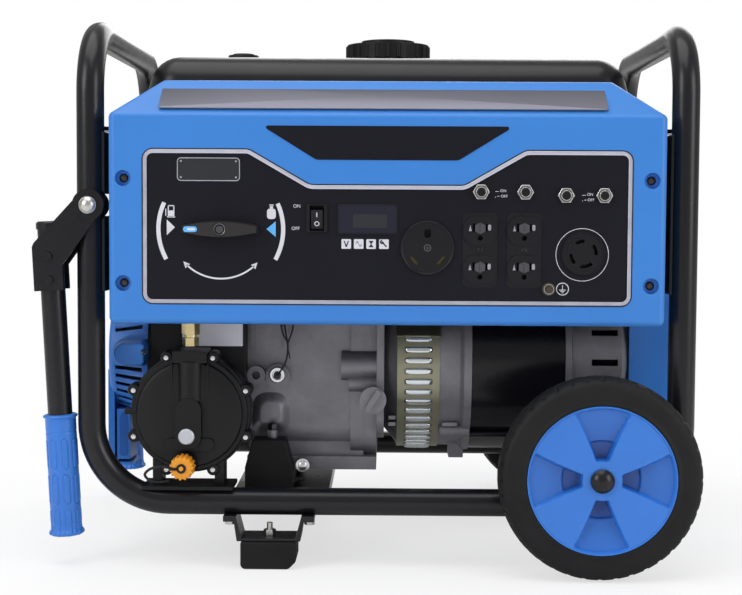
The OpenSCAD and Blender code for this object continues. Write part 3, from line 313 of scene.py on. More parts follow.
def sprayed(name, colour, rough, peel, glow):
    """Sprayed or powder coated steel: orange peel, faint cloudiness and patchy gloss."""
    coat = Coat(name)
    cloud = coat.speckle(14.0, 3.0)
    paint = coat.blend(cloud, colour, tuple(c * 1.4 + 0.001 for c in colour))
    skin = coat.speckle(520.0, 2.0) * 0.6 + coat.speckle(1900.0, 1.0) * 0.4
    wiped = coat.speckle(35.0, 4.0, 0.6)
    return coat.done(Base_Color=paint, Roughness=wiped * 0.16 + (rough - 0.08),
                     Specular_IOR_Level=glow, Coat_Roughness=0.15, Coat_Weight=0.08,
                     Normal=coat.relief(skin, peel))


tube_black = sprayed("tube_black", (0.005, 0.005, 0.0065), 0.30, 0.00006, 0.32)
for node in ("front_frame_tube", "rear_frame_tube"):
    finished(node, tube_black, 0.0005)

# ---------------------------------------------------------------- base
# Two pressed steel channels between the bottom rails, stub axle plates and the hat-shaped foot
# straps, all welded or bolted to the rails and powder coated with them.

for node in ("base_crossmembers", "wheel_axles", "foot_brackets"):
    finished(node, tube_black, 0.0007)


def plated(name, colour, rough, streak):
    """Zinc plated steel: bright, slightly cloudy, with fine turning marks."""
    coat = Coat(name)
    cloud = coat.speckle(60.0, 4.0, 0.6)
    metal = coat.blend(cloud, tuple(c * 0.8 for c in colour), colour)
    marks = coat.speckle(1.0, 2.0, 0.5, coat.stretched(*streak))
    return coat.done(Base_Color=metal, Metallic=1.0, Roughness=cloud * 0.2 + (rough - 0.1),
                     Normal=coat.relief(marks, 0.00003))


zinc = plated("zinc", (0.62, 0.61, 0.58), 0.34, (900.0, 200.0, 900.0))
finished("frame_bolts", zinc, 0.0004)


def rubbery(name, colour, rough, grain):
    """Black rubber: matt, faintly dusty, with a fine moulded grain."""
    coat = Coat(name)
    dust = coat.speckle(22.0, 5.0, 0.65)
    skin = coat.speckle(1400.0, 2.0) * 0.5 + coat.speckle(260.0, 3.0) * 0.5
    return coat.done(Base_Color=coat.blend(dust.over(0.5, 0.5), colour,
                                           tuple(c * 1.6 + 0.004 for c in colour)),
                     Roughness=dust * 0.18 + (rough - 0.09), Specular_IOR_Level=0.2,
                     Normal=coat.relief(skin, grain))


foot_rubber = rubbery("foot_rubber", (0.005, 0.005, 0.0055), 0.6, 0.00012)
finished("foot_pads", foot_rubber, 0.0022, segments=4)
finished("engine_mounts", foot_rubber, 0.0016, segments=3)

# ---------------------------------------------------------------- wheels
# Moulded blue rims with black rubber tyres, each running on a stub axle.

def moulded(name, colour, rough, grain, glow=0.5, mottle=0.12):
    """Moulded plastic: fine spark-eroded grain, faint colour flow and patchy gloss."""
    coat = Coat(name)
    flow = coat.speckle(9.0, 3.0, 0.55)
    tint = coat.blend(flow, tuple(c * (1.0 - mottle) for c in colour),
                      tuple(min(1.0, c * (1.0 + mottle)) for c in colour))
    skin = coat.speckle(1500.0, 2.0, 0.6) * 0.6 + coat.speckle(420.0, 2.0) * 0.4
    wiped = coat.speckle(28.0, 4.0, 0.6)
    return coat.done(Base_Color=tint, Roughness=wiped * 0.14 + (rough - 0.07),
                     Specular_IOR_Level=glow, Normal=coat.relief(skin, grain))


def soft_step(x, start, end):
    """0 before start, 1 after end, and 3t^2 - 2t^3 of the way t between them."""
    t = np.clip((x - start) / (end - start), 0.0, 1.0)
    return t * t * (3.0 - 2.0 * t)


def reshaped(mesh, change):
    """The mesh with its points, rows of x, y and z in metres, put through change."""
    points = np.empty(len(mesh.vertices) * 3)
    mesh.vertices.foreach_get("co", points)
    mesh.vertices.foreach_set("co", np.asarray(change(points.reshape(-1, 3))).ravel())
    return mesh


def closed_mesh(name, parts, hard=40.0):
    """One mesh of several grids that meet at their edges: doubles merged, normals outwards."""
    work = bmesh.new()
    for part in parts:
        work.from_mesh(part)
        bpy.data.meshes.remove(part)
    bmesh.ops.remove_doubles(work, verts=work.verts, dist=1e-6)
    bmesh.ops.dissolve_degenerate(work, edges=work.edges, dist=1e-7)
    bmesh.ops.recalc_face_normals(work, faces=work.faces)
    for face in work.faces:
        face.smooth = True
    for edge in work.edges:
        edge.smooth = len(edge.link_faces) != 2 or edge.calc_face_angle(0.0) < radians(hard)
    mesh = bpy.data.meshes.new(name)
    work.to_mesh(mesh)
    work.free()
    return mesh


def polar(radius, angle, depth):
    """Points about an axis along Y: radius times cosine and sine of the angle, depth along Y."""
    radius, angle, depth = np.broadcast_arrays(radius, angle, depth)
    return np.stack([radius * np.cos(angle), depth, radius * np.sin(angle)], -1)


def turns(steps):
    """Evenly spaced angles for one whole turn, one column per step."""
    return np.linspace(0.0, tau, steps, endpoint=False)[None, :]


tyre_rubber = rubbery("tyre_rubber", (0.006, 0.006, 0.0065), 0.58, 0.00010)
low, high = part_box("tyre_front")
axle_at = np.array(((low.x + high.x) / 2, low.y, (low.z + high.z) / 2))
wheel_width = high.y - low.y
low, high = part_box("wheel_rim_front")
rim_radius, hub_depth = (high.z - low.z) / 2, high.y - axle_at[1]
bore_radius = 0.00805


def painted_shade_rim(name, colour, deep):
    """The moulded blue, with painted shade that darkens it towards the floors of the pockets."""
    coat = Coat(name)
    flow = coat.speckle(9.0, 3.0, 0.55)
    tint = coat.blend(flow, tuple(c * 0.9 for c in colour), tuple(c * 1.1 for c in colour))
    _, side, _ = coat.axes()
    # Painted shade: none within 3.5 mm of the wheel's outer face, full at 16 mm in towards the machine.
    painted_pocket_shade = coat.place.math("DIVIDE", (abs(axle_at[1]) - 0.0035) - side.size(), 0.0125, clamp=True)
    skin = coat.speckle(1500.0, 2.0, 0.6) * 0.6 + coat.speckle(420.0, 2.0) * 0.4
    return coat.done(Base_Color=coat.blend(painted_pocket_shade, tint, deep), Specular_IOR_Level=0.5,
                     Roughness=coat.speckle(28.0, 4.0, 0.6) * 0.14 + 0.25,
                     Normal=coat.relief(skin, 0.00004))


rim_blue = moulded("rim_blue", (0.028, 0.17, 0.60), 0.38, 0.00004)
# The rims' blue, with painted shade in its pockets.
rim_painted_shade = painted_shade_rim("rim_painted_shade", (0.028, 0.17, 0.60), (0.007, 0.042, 0.21))
hub_radius = 0.0192
rim_steps = 360


def rim_front():
    """Depth of the rim's face over radius and angle: a thin raised lip at the edge, a level face,
    and four pockets. A pocket lies within a half angle of an axis, which grows with the radius;
    its floor is a cone, shallow at the edge, with a second step down near the hub."""
    radius = np.concatenate([
        [bore_radius, 0.009, 0.013, 0.0165, 0.0182], np.linspace(0.0188, 0.0235, 11),
        np.linspace(0.025, 0.036, 9), np.linspace(0.037, 0.041, 6),
        np.linspace(0.043, 0.066, 16), np.linspace(0.067, rim_radius, 22)])[:, None]
    angle = turns(rim_steps)
    from_axis = np.abs((angle + pi / 4) % (pi / 2) - pi / 4)
    half = radians(19.5) + radians(3.6) * (radius - hub_radius) / (0.07 - hub_radius)
    across = soft_step((half - from_axis) * radius, 0.0, 0.0034)
    along = (soft_step(radius, hub_radius, hub_radius + 0.0032) *
             soft_step(-radius, -0.0722, -0.0702))
    second_step = 0.0030 * soft_step(-radius, -0.040, -0.0375)
    floor_depth = 0.0045 + 0.0052 * (0.070 - radius) / 0.045 + second_step
    lip = soft_step(radius, 0.0724, 0.0730)
    hub_edge = 0.0006 * soft_step(radius, 0.0100, bore_radius)
    depth = 0.0012 * (1.0 - lip) + across * along * floor_depth + hub_edge
    return polar(radius, angle, depth)


def rim_back():
    """Lathe profile of the rim's barrel, inner web and hub, as radius and depth pairs."""
    profile = np.array([
        (rim_radius, 0.0), (rim_radius, 0.002), (0.0722, 0.004), (0.0722, 0.041),
        (rim_radius, 0.043), (rim_radius, wheel_width), (0.0695, wheel_width), (0.0688, 0.030),
        (0.0665, 0.0195), (0.062, 0.0182), (0.024, 0.0182), (0.0195, 0.0205),
        (0.0180, 0.026), (0.0176, hub_depth - 0.001), (0.0168, hub_depth),
        (bore_radius, hub_depth), (bore_radius, 0.0)])
    return polar(profile[:, :1], turns(rim_steps), profile[:, 1:])


def rim_ribs():
    """Eight flat ribs between hub and barrel behind the web, as thin boxes along the radius."""
    boxes = []
    for turn in np.arange(8) * pi / 4 + pi / 8:
        corner = np.array([[[r, y, s * 0.0012] for s in (-1, 1, 1, -1)]
                           for r, y in ((0.0170, 0.0180), (0.0690, 0.0180), (0.0690, 0.0300),
                                        (0.0170, 0.0380), (0.0170, 0.0180))])
        spun = corner.copy()
        spun[..., 0] = corner[..., 0] * cos(turn) - corner[..., 2] * sin(turn)
        spun[..., 2] = corner[..., 0] * sin(turn) + corner[..., 2] * cos(turn)
        boxes.append(spun)
    return boxes


def tyre_shell():
    """Lathe profile of the tyre with three grooves round the tread; across the shoulders the
    radius dips by a rounded square wave of the angle, which makes the tread lugs."""
    half = np.array([
        (rim_radius, 0.0016), (0.0747, 0.0006), (0.0756, 0.0002), (0.0772, 0.0004),
        (0.0786, 0.0012),
        (0.0800, 0.0014), (0.0840, 0.0010), (0.0880, 0.0009), (0.0920, 0.0012), (0.0950, 0.0020),
        (0.0974, 0.0034), (0.0990, 0.0054), (0.1001, 0.0078), (0.1008, 0.0104), (0.1013, 0.0132),
        (0.1014, 0.0140), (0.0998, 0.0143), (0.0998, 0.0163), (0.1015, 0.0166),
        (0.1016, 0.0208), (0.1000, 0.0211), (0.1000, 0.0225)])
    far = half[::-1][1:] * (1.0, -1.0) + (0.0, wheel_width)
    profile = np.vstack([half, far])
    radius, depth = profile[:, :1], profile[:, 1:]
    angle = turns(480)
    shoulder = soft_step(np.minimum(depth, wheel_width - depth), 0.0040, 0.0060) * soft_step(
        -np.minimum(depth, wheel_width - depth), -0.0142, -0.0136)
    lug = soft_step(np.abs(((angle * 40 / tau) % 1.0) - 0.5), 0.36, 0.42)
    return polar(radius - 0.0011 * shoulder * lug * (radius > 0.09), angle, depth)


def wheel_mesh(name, grids, rear):
    """Merged grids moved to the axle, mirrored across the machine for the rear wheel."""
    sides = []
    for i, points in enumerate(grids):
        moved = points + axle_at
        if rear:
            moved = moved * (1.0, -1.0, 1.0)
        sides.append(grid_mesh(f"{name}_{i}", moved, closed_v=True))
    return closed_mesh(name, sides, hard=30.0)


for end in ("front", "rear"):
    rear = end == "rear"
    rim = wheel_mesh("rim_" + end, [rim_front(), rim_back()], rear)
    placed("wheel_rim_" + end + "_piece", rim, rim_painted_shade, end + "_wheel",
           ("wheel_rim_" + end,))
    ribs = wheel_mesh("rim_ribs_" + end, rim_ribs(), rear)
    placed("rim_ribs_" + end, ribs, rim_blue, end + "_wheel")
    tread = tyre_shell()
    tyre = wheel_mesh("tyre_" + end, [np.vstack([tread, tread[:1]])], rear)
    placed("tyre_" + end + "_piece", tyre, tyre_rubber, end + "_wheel",
           ("tyre_" + end,))

# ---------------------------------------------------------------- handles
# Fold-down lifting handles: a tube clamped between two cheeks that turn on a bolt through the
# post, with a moulded blue grip pushed on its lower end.

pivot = {joint["name"]: np.array(joint["pos_m"]) for joint in frame["joints"] if "pos_m" in joint}
handle_lean = radians(2.9)
tube_offset, grip_start = 0.0435, 0.213
for end in ("front", "rear"):
    finished("handle_arm_" + end, tube_black, 0.0005)


def grip_shell():
    """Grip about an axis along Y: radius is the sleeve's, plus a flare at both ends, minus
    rounded grooves drawn as outlines of long ovals, eight round the grip and three along it."""
    length = 0.125
    station = np.concatenate([[0.0], np.linspace(0.0004, length - 0.0004, 250), [length]])[:, None]
    angle = turns(192)
    flare = 0.0020 * soft_step(-station, -0.0045, -0.0020) * soft_step(station, 0.0, 0.0012)
    flare += 0.0021 * soft_step(station, length - 0.0070, length - 0.0030) * soft_step(
        -station, -length, -length + 0.0015)
    radius = 0.0157 + flare
    round_pitch, row_pitch, first_row = tau / 8, 0.0365, 0.0220
    arc = (((angle / round_pitch) % 1.0) - 0.5) * round_pitch * 0.0157
    row = (station - first_row) / row_pitch
    down = ((row % 1.0) - 0.5) * row_pitch
    straight = np.maximum(np.abs(down) - 0.0118, 0.0)
    from_line = np.sqrt(arc ** 2 + straight ** 2)
    outline = np.exp(-((from_line - 0.0033) / 0.00075) ** 2) * ((row > 0) & (row < 3))
    inner = soft_step(-from_line, -0.0033, -0.0022) * ((row > 0) & (row < 3))
    ring = np.exp(-((station - 0.0180) / 0.0007) ** 2)
    for back in (0.010, 0.0125):
        ring = ring + np.exp(-((station - length + back) / 0.0006) ** 2)
    radius = radius - 0.00075 * outline + 0.00035 * inner - 0.0004 * ring
    body = polar(radius, angle, station)
    bore, plug = 0.01255, 0.0040
    inside = np.array([(bore, 0.0), (bore, length - plug), (0.0, length - plug)])
    mouth = polar(inside[:, :1], angle, inside[:, 1:])
    foot = polar(np.array([[0.0], [0.0150]]), angle, np.array([[length], [length]]))
    return [np.vstack([mouth[:1], body[:1]]), body, np.vstack([foot, body[-1:]]), mouth]


def on_handle(points):
    """Grid about an axis along Y, laid along the front handle's tube, which leans by handle_lean:
    the axis runs down the tube, at tube_offset outside the pivot."""
    x = points[..., 0] - tube_offset
    z = -grip_start - points[..., 1]
    lean_x = x * cos(handle_lean) - z * sin(handle_lean)
    lean_z = x * sin(handle_lean) + z * cos(handle_lean)
    return np.stack([lean_x, points[..., 2], lean_z], -1) + pivot["front_handle_fold"]


for end, side_of in (("front", 1.0), ("rear", -1.0)):
    skins = [grid_mesh("grip_skin", on_handle(points) * (1.0, side_of, 1.0), closed_v=True)
             for points in grip_shell()]
    grip = closed_mesh("handle_grip_" + end + "_skin", skins, hard=50.0)
    placed("handle_grip_" + end + "_piece", grip, rim_blue, end + "_handle",
           ("handle_grip_" + end,))

# ---------------------------------------------------------------- fuel tank
# Two pressed steel shells joined at a seam flange, painted black, with a gauge and a filler cap.

tank_black = sprayed("tank_black", (0.005, 0.005, 0.0065), 0.34, 0.00003, 0.3)
black_plastic = moulded("black_plastic", (0.006, 0.006, 0.007), 0.5, 0.00006, 0.25)
finished("fuel_tank", tank_black, 0.0, 60.0)
finished("fuel_gauge", black_plastic)
for node in ("fuel_cap", "cap_core"):
    finished(node, black_plastic, 0.0012)

# ---------------------------------------------------------------- control panel
# A deep blue moulded surround screwed to a folded steel box. A dark plate with a raised silver
# border is let into its face; a bare badge and a bare strip lie above it.

low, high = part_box("front_frame_tube")
middle = (low.x + high.x) / 2
panel_blue = moulded("panel_blue", (0.040, 0.200, 0.590), 0.36, 0.00003, 0.35, 0.06)
finished("control_box", tank_black)
finished("panel_surround", panel_blue, 0.0, 50.0)
plate_dark = moulded("plate_dark", (0.007, 0.007, 0.012), 0.45, 0.00002, 0.15)
plate_node = frame["nodes"]["control_plate"]
plate_node.material_slots[0].material = plate_dark


def rounded_path(corners, radii, steps=10):
    """Closed outline in mm through the corners. Each corner becomes an arc whose centre lies on
    the corner's bisector, so that the arc touches both sides."""
    corners = np.array(corners, float)
    outline = []
    for i, radius in enumerate(radii):
        corner = corners[i]
        before = corners[i - 1] - corner
        after = corners[(i + 1) % len(corners)] - corner
        before, after = before / np.hypot(*before), after / np.hypot(*after)
        half = np.arccos(np.clip(before @ after, -1, 1)) / 2
        middle_way = (before + after) / np.hypot(*(before + after))
        centre = corner + middle_way * radius / sin(half)
        start = corner + before * radius / np.tan(half) - centre
        sweep = pi - 2 * half
        turn = sweep * np.sign(start[1] * middle_way[0] - start[0] * middle_way[1])
        angle = np.linspace(0.0, turn, steps + 1)
        outline.append(centre + np.stack([start[0] * np.cos(angle) - start[1] * np.sin(angle),
                                          start[0] * np.sin(angle) + start[1] * np.cos(angle)], -1))
    return np.vstack(outline)


def outward(path):
    """Unit normals of a closed outline, pointing away from its inside."""
    along = np.roll(path, -1, 0) - np.roll(path, 1, 0)
    along /= np.linalg.norm(along, axis=1, keepdims=True)
    x, z = path[:, 0], path[:, 1]
    area = np.sum(x * np.roll(z, -1) - np.roll(x, -1) * z)
    return np.stack([along[:, 1], -along[:, 0]], -1) * np.sign(area)


def on_front(flat, depth):
    """Outline in mm from the frame's centre line, set up at a depth in mm along Y."""
    flat, depth = np.broadcast_arrays(flat, np.asarray(depth, float)[..., None])
    return np.stack([flat[..., 0] / 1000 + middle, depth[..., 0] / 1000, flat[..., 1] / 1000], -1)


def banded(name, path, profile):
    """Moulding along a closed outline. Each profile row is a distance outwards and a depth."""
    profile = np.array(profile, float)
    loops = path[None] + outward(path)[None] * profile[:, :1, None]
    points = on_front(loops, np.repeat(profile[:, 1:], len(path), 1))
    return closed_mesh(name, [grid_mesh(name, points, closed_u=True, closed_v=True)])


def printed(name, outlines, depth, thick, bevel=0.0):
    """Flat prisms on a face: each closed outline in mm, from depth towards the front by thick."""
    work = bmesh.new()
    for outline in outlines:
        level = np.full(len(outline), depth)
        drawn_in = outline + outward(outline) * -bevel
        back = [work.verts.new(p) for p in on_front(outline, level)]
        front = [work.verts.new(p) for p in on_front(drawn_in, level - thick)]
        work.faces.new(front)
        work.faces.new(back[::-1])
        for i in range(len(back)):
            j = (i + 1) % len(back)
            work.faces.new((back[i], back[j], front[j], front[i]))
    bmesh.ops.recalc_face_normals(work, faces=work.faces)
    mesh = bpy.data.meshes.new(name)
    work.to_mesh(mesh)
    work.free()
    return mesh


def framed(cx, cz, w, h, r, steps=8):
    """Rounded rectangle about a centre."""
    return rounded_path([(cx - w / 2, cz - h / 2), (cx + w / 2, cz - h / 2),
                         (cx + w / 2, cz + h / 2), (cx - w / 2, cz + h / 2)], [r] * 4, steps)


def arc_band(cx, cz, r, width, start, end, steps=48):
    """Part of a ring of mean radius r, between two angles in degrees."""
    angle = np.radians(np.linspace(start, end, steps))
    ray = np.stack([np.cos(angle), np.sin(angle)], -1)
    return np.vstack([(r + width / 2) * ray, ((r - width / 2) * ray)[::-1]]) + (cx, cz)


plate_edge = rounded_path([(-244, 272), (244, 272), (244, 426), (138, 426), (77, 391),
                           (-77, 391), (-138, 426), (-244, 426)], [10, 10, 10, 14, 14, 14, 14, 10])
silver = plated("silver_edge", (0.66, 0.66, 0.76), 0.42, (300.0, 300.0, 300.0))
placed("plate_border", banded("plate_border", plate_edge, [
    (-0.2, -234.2), (-0.2, -235.5), (-0.6, -235.9), (-3.3, -235.9), (-3.9, -235.6),
    (-4.1, -234.5)]), silver, "frame")
line_black = moulded("line_black", (0.008, 0.009, 0.014), 0.5, 0.00001)
placed("plate_shadow_line", banded("plate_shadow_line", plate_edge, [
    (-0.25, -234.8), (-0.25, -235.15), (1.1, -235.15), (1.1, -234.8)]), line_black, "frame")

badge = rounded_path([(-126, 450), (126, 450), (71, 416), (-71, 416)], [2, 2, 10, 10])
placed("badge_plate", printed("badge_plate", [badge], -234.6, 1.0, 0.3), plate_dark, "frame")

name_edge = framed(-178.3, 406.1, 63, 23.5, 4)
placed("name_plate_border", banded("name_plate_border", name_edge, [
    (-0.1, -234.6), (-0.1, -235.2), (-0.9, -235.2), (-0.9, -234.6)]), silver, "frame")
placed("name_plate", printed("name_plate", [framed(-178.3, 406.1, 61, 21.5, 3.2)], -234.6, 0.35),
       line_black, "frame")
rivets = [framed(-178.3 + right * 27.5, 406.1 + up * 8, 2.2, 2.2, 1.09)
          for right in (-1, 1) for up in (-1, 1)]
placed("name_plate_rivets", printed("name_plate_rivets", rivets, -234.9, 0.6, 0.3), silver, "frame")

# The strip on the slanted brow: a thin plate whose grey lightens towards its lower edge.
brow_foot, brow_head = np.array((-235.0, 464.0)), np.array((-185.0, 498.0))
slope = (brow_head - brow_foot) / np.linalg.norm(brow_head - brow_foot)
brow_out = np.array((-slope[1], slope[0]))
flat = rounded_path([(-229, 5.5), (220, 5.5), (220, 55.5), (-229, 55.5)], [3] * 4)
strip_loops = []
for inset, proud in ((0.0, -0.4), (0.0, 0.45), (0.35, 0.7)):
    loop = flat + outward(flat) * -inset
    up = brow_foot + loop[:, 1:] * slope + brow_out * proud
    strip_loops.append(np.stack([loop[:, 0] / 1000 + middle, up[:, 0] / 1000, up[:, 1] / 1000], -1))
strip_grid = np.array(strip_loops)
caps = [np.stack([np.repeat(ring.mean(0)[None], len(ring), 0), ring]) for ring in
        (strip_grid[0], strip_grid[-1])]
strip = closed_mesh("brow_strip", [grid_mesh("brow_strip", part, closed_v=True)
                                   for part in (strip_grid, *caps)])
strip_coat = Coat("strip_grey")
_, _, height = strip_coat.axes()
fade = height.math("DIVIDE", height - 0.466, 0.032, clamp=True)
satin = strip_coat.speckle(1.0, 2.0, 0.5, strip_coat.stretched(30.0, 1500.0, 1500.0))
greys = strip_coat.blend(fade, (0.20, 0.20, 0.25), (0.085, 0.088, 0.105))
strip_grey = strip_coat.done(Base_Color=greys, Metallic=0.55, Roughness=satin * 0.2 + 0.34,
                             Normal=strip_coat.relief(satin, 0.00001))
placed("brow_strip", strip, strip_grey, "frame")

# Printed marks on the plate: the fuel dial's arcs, arrows and pictures, the meter's four key
# squares, the ring round the locking outlet, the earth sign and the switch words.
ink_white = moulded("ink_white", (0.62, 0.62, 0.68), 0.5, 0.00001)
ink_blue = moulded("ink_blue", (0.10, 0.42, 0.85), 0.45, 0.00001)
dial = np.array((-166.0, 346.5))
ink = -234.68
white_marks = [arc_band(*dial, 62.4, 4.2, 155.0, 209.0), arc_band(*dial, 62.4, 4.2, -29.0, 24.5),
               arc_band(*dial, 49.5, 1.7, 226.5, 312.5),
               dial + [(-54, 9.4), (-45.9, 1.6), (-54, -6.2)]]
for side_angle, swing in ((223.0, -1), (316.0, 1)):
    ray = np.array((cos(radians(side_angle)), sin(radians(side_angle))))
    tangent = np.array((-ray[1], ray[0])) * swing
    tip = dial + ray * 49.5
    white_marks.append(np.array([tip + tangent * 1.8, tip - tangent * 4.6 + ray * 3.1,
                                 tip - tangent * 4.6 - ray * 3.1]))
pump = dial + (-50.2, 17.8)
white_marks += [framed(*(pump + offset), w, h, r) for offset, w, h, r in (
    ((0.5, -2.6), 6.6, 6.4, 0.6), ((0.5, -5.8), 8.0, 1.2, 0.3), ((0.5, 5.4), 6.6, 1.0, 0.3),
    ((-2.3, 3.0), 1.0, 5.4, 0.3), ((3.3, 3.0), 1.0, 5.4, 0.3), ((-4.8, -1.2), 0.9, 7.2, 0.3))]
bottle = dial + (50.6, 17.0)
white_marks += [framed(*(bottle + offset), w, h, r) for offset, w, h, r in (
    ((0, -1.4), 8.8, 10.4, 3.0), ((0, 5.0), 3.2, 2.6, 0.6), ((0, 7.4), 4.4, 1.0, 0.3))]
key_x, key_z = (-40.5, -28.1, -15.7, -2.9), 332.5
white_marks += [framed(x, key_z, 9.6, 9.6, 1.0) for x in key_x]
earth_x, whole = 175.8, 359.5
white_marks += [arc_band(195.0, 323.0, 26.2, 0.55, 0, whole, 90),
                arc_band(earth_x, 288.7, 6.0, 0.75, 0, whole, 60)]
white_marks += [framed(earth_x, z, w, h, 0.2) for z, w, h in (
    (290.2, 0.7, 5.0), (287.7, 6.6, 0.7), (286.3, 4.2, 0.7), (284.9, 1.8, 0.7))]
for x, z in ((109.5, 385.6), (196.0, 382.3)):
    white_marks += [framed(x, z, 3.6, 0.5, 0.2), framed(x - 1.4, z - 5.5, 0.9, 0.5, 0.2),
                    framed(x + 1.4, z - 4.7, 1.8, 0.5, 0.2)]
placed("plate_marks", printed("plate_marks", white_marks, ink, 0.16), ink_white, "frame")
blue_arrow = dial + [(54.9, -7.4), (45.7, 0.4), (54.9, 8.2)]
placed("plate_mark_blue", printed("plate_mark_blue", [blue_arrow], ink, 0.16), ink_blue, "frame")
wave = np.linspace(0, tau, 17)
crest = np.stack([key_x[1] - 2.9 + wave * 5.8 / tau, key_z + 2.2 * np.sin(wave)], -1)
dark_marks = [
    np.array([(-43.2, 335.6), (-42.0, 335.6), (-40.5, 331.4), (-39.0, 335.6), (-37.8, 335.6),
              (-39.9, 329.4), (-41.1, 329.4)]),
    np.vstack([crest + (0, 0.5), crest[::-1] - (0, 0.5)]),
    np.array([(-18.2, 335.7), (-13.2, 335.7), (-15.4, 332.5), (-13.2, 329.3), (-18.2, 329.3),
              (-16.0, 332.5)]),
    np.array([(-5.9, 334.6), (-4.9, 335.6), (0.2, 330.4), (-0.8, 329.4)]),
    arc_band(-5.0, 334.6, 1.5, 1.1, 80, 370, 16)]
placed("key_pictures", printed("key_pictures", dark_marks, ink - 0.14, 0.12), line_black, "frame")


def lettering(name, words):
    """Plain raised words, each given as text, centre in mm, letter height and depth."""
    work = bmesh.new()
    for text, x, z, tall, depth in words:
        curve = bpy.data.curves.new(name, "FONT")
        curve.body, curve.size, curve.align_x, curve.align_y = text, tall * 1.38, "CENTER", "CENTER"
        curve.extrude = 0.08
        letters = bpy.data.objects.new(name, curve)
        scene.collection.objects.link(letters)
        bpy.context.view_layer.update()
        shape = bpy.data.meshes.new_from_object(letters)
        bpy.data.objects.remove(letters)
        work.from_mesh(reshaped(shape, lambda co: np.stack([
            (co[:, 0] + x) / 1000 + middle, (depth - co[:, 2]) / 1000, (co[:, 1] + z) / 1000], -1)))
        bpy.data.meshes.remove(shape)
    bmesh.ops.remove_doubles(work, verts=work.verts, dist=1e-6)
    bmesh.ops.recalc_face_normals(work, faces=work.faces)
    mesh = bpy.data.meshes.new(name)
    work.to_mesh(mesh)
    work.free()
    return placed(name, mesh, ink_white, "frame")


lettering("switch_words", [
    ("ON", -90.0, 369.8, 3.4, ink), ("OFF", -91.2, 347.6, 3.4, ink),
    ("ON", 115.6, 386.2, 2.8, ink), ("OFF", 116.6, 380.8, 2.8, ink),
    ("ON", 202.0, 383.0, 2.8, ink), ("OFF", 203.0, 377.6, 2.8, ink)])

screw_zinc = plated("screw_zinc", (0.12, 0.10, 0.08), 0.4, (900.0, 200.0, 900.0))
finished("panel_fasteners", screw_zinc, 0.0002)
outlet_black = moulded("outlet_black", (0.006, 0.006, 0.008), 0.34, 0.00001, 0.3)
for node in ("duplex_outlets", "switch_housing", "hour_meter", "breaker_button_1",
             "breaker_button_2", "breaker_button_3", "breaker_button_4"):
    finished(node, outlet_black, 0.0004)
nickel = plated("nickel", (0.70, 0.69, 0.67), 0.22, (300.0, 300.0, 300.0))


def lathe(name, origin, profile, steps=48, axis="y", ring=False):
    """Solid of revolution in mm about an axis through the origin. Profile rows are a radius and a
    distance along the axis; they start and end on the axis, or close into a ring."""
    profile = np.array(profile, float)
    points = polar(profile[:, :1], turns(steps), profile[:, 1:])
    order = {"y": (0, 1, 2), "x": (1, 2, 0), "z": (2, 0, 1)}[axis]
    points = (points[..., list(order)] + np.array(origin, float)) / 1000 + (middle, 0.0, 0.0)
    return grid_mesh(name, points, closed_u=ring, closed_v=True)


def fitted(name, shapes, material, body="frame", stands_for=(), hard=40.0):
    """Several closed shapes as one piece of the machine."""
    return placed(name, closed_mesh(name, shapes, hard), material, body, stands_for)


def carved(mesh, cutter):
    """The mesh with the cutter's volume taken out, worked out once by an exact boolean."""
    solid, tool = (bpy.data.objects.new("carving", m) for m in (mesh, cutter))
    for part in (solid, tool):
        scene.collection.objects.link(part)
    cut = solid.modifiers.new("cut", "BOOLEAN")
    cut.operation, cut.solver, cut.object = "DIFFERENCE", "EXACT", tool
    bpy.context.view_layer.update()
    graph = bpy.context.evaluated_depsgraph_get()
    result = bpy.data.meshes.new_from_object(solid.evaluated_get(graph))
    for part in (solid, tool):
        bpy.data.objects.remove(part)
    for used in (mesh, cutter):
        bpy.data.meshes.remove(used)
    joined_up(result, 30.0)
    return result


# Travel outlet: a shallow dish with a ground hole over two slanted blades and a screw between
# them. Locking outlet: a disc with four curved slots. Brass contacts show deep in the blades,
# their brass darkened by painted shade.
travel, locking = np.array((40.6, 329.0)), np.array((196.0, 324.0))
travel_at, locking_at = (travel[0], 0, travel[1]), (locking[0], 0, locking[1])
well_back, well_deep = -222.0, 18.0
dish = lathe("travel_face", travel_at, [
    (0, -212), (24, -212), (24, -234.6), (27, -234.6), (27, -236.8), (26.6, -237.2),
    (25.6, -237.2), (25.1, -236.9), (24.9, -236.2), (0, -236.2)], 96)
wells = [travel + framed(0, 14.5, 6.6, 8.4, 2.2)]
for lean in (-1, 1):
    tilt = radians(-42.0 * lean)
    spin = np.array(((cos(tilt), sin(tilt)), (-sin(tilt), cos(tilt))))
    wells.append(travel + (13.3 * lean, -13.0) + framed(0, 0, 2.8, 10.5, 0.5) @ spin)
placed("travel_outlet_face", carved(closed_mesh("travel_face", [dish]),
                                    printed("travel_wells", wells, well_back, well_deep)),
       outlet_black, "frame", ("round_outlets",))
disc = lathe("locking_face", locking_at, [
    (0, -210), (20.5, -210), (20.5, -234.6), (21.8, -234.6), (21.8, -236.2), (21.4, -236.7),
    (20.6, -236.7), (20.2, -236.0), (17.0, -236.0), (16.8, -236.6), (0, -236.6)], 96)
slots = [arc_band(*locking, 12.6, 3.4, centre - half, centre + half, 14)
         for centre, half in ((19, 24), (106, 20), (204, 23), (284, 27))]
placed("locking_outlet_face", carved(closed_mesh("locking_face", [disc]),
                                     printed("locking_slots", slots, well_back, well_deep)),
       outlet_black, "frame")
# Brass kept far darker than its own colour: painted shade for the contacts' depth in the wells.
contact_brass_painted_shade = plated("contact_brass_painted_shade", (0.15, 0.125, 0.06), 0.4, (300.0, 300.0, 300.0))
placed("travel_contacts", printed("travel_contacts", wells[1:], -223.0, 9.5), contact_brass_painted_shade,
       "frame")
steel_dark = plated("steel_dark", (0.16, 0.16, 0.17), 0.32, (300.0, 300.0, 300.0))
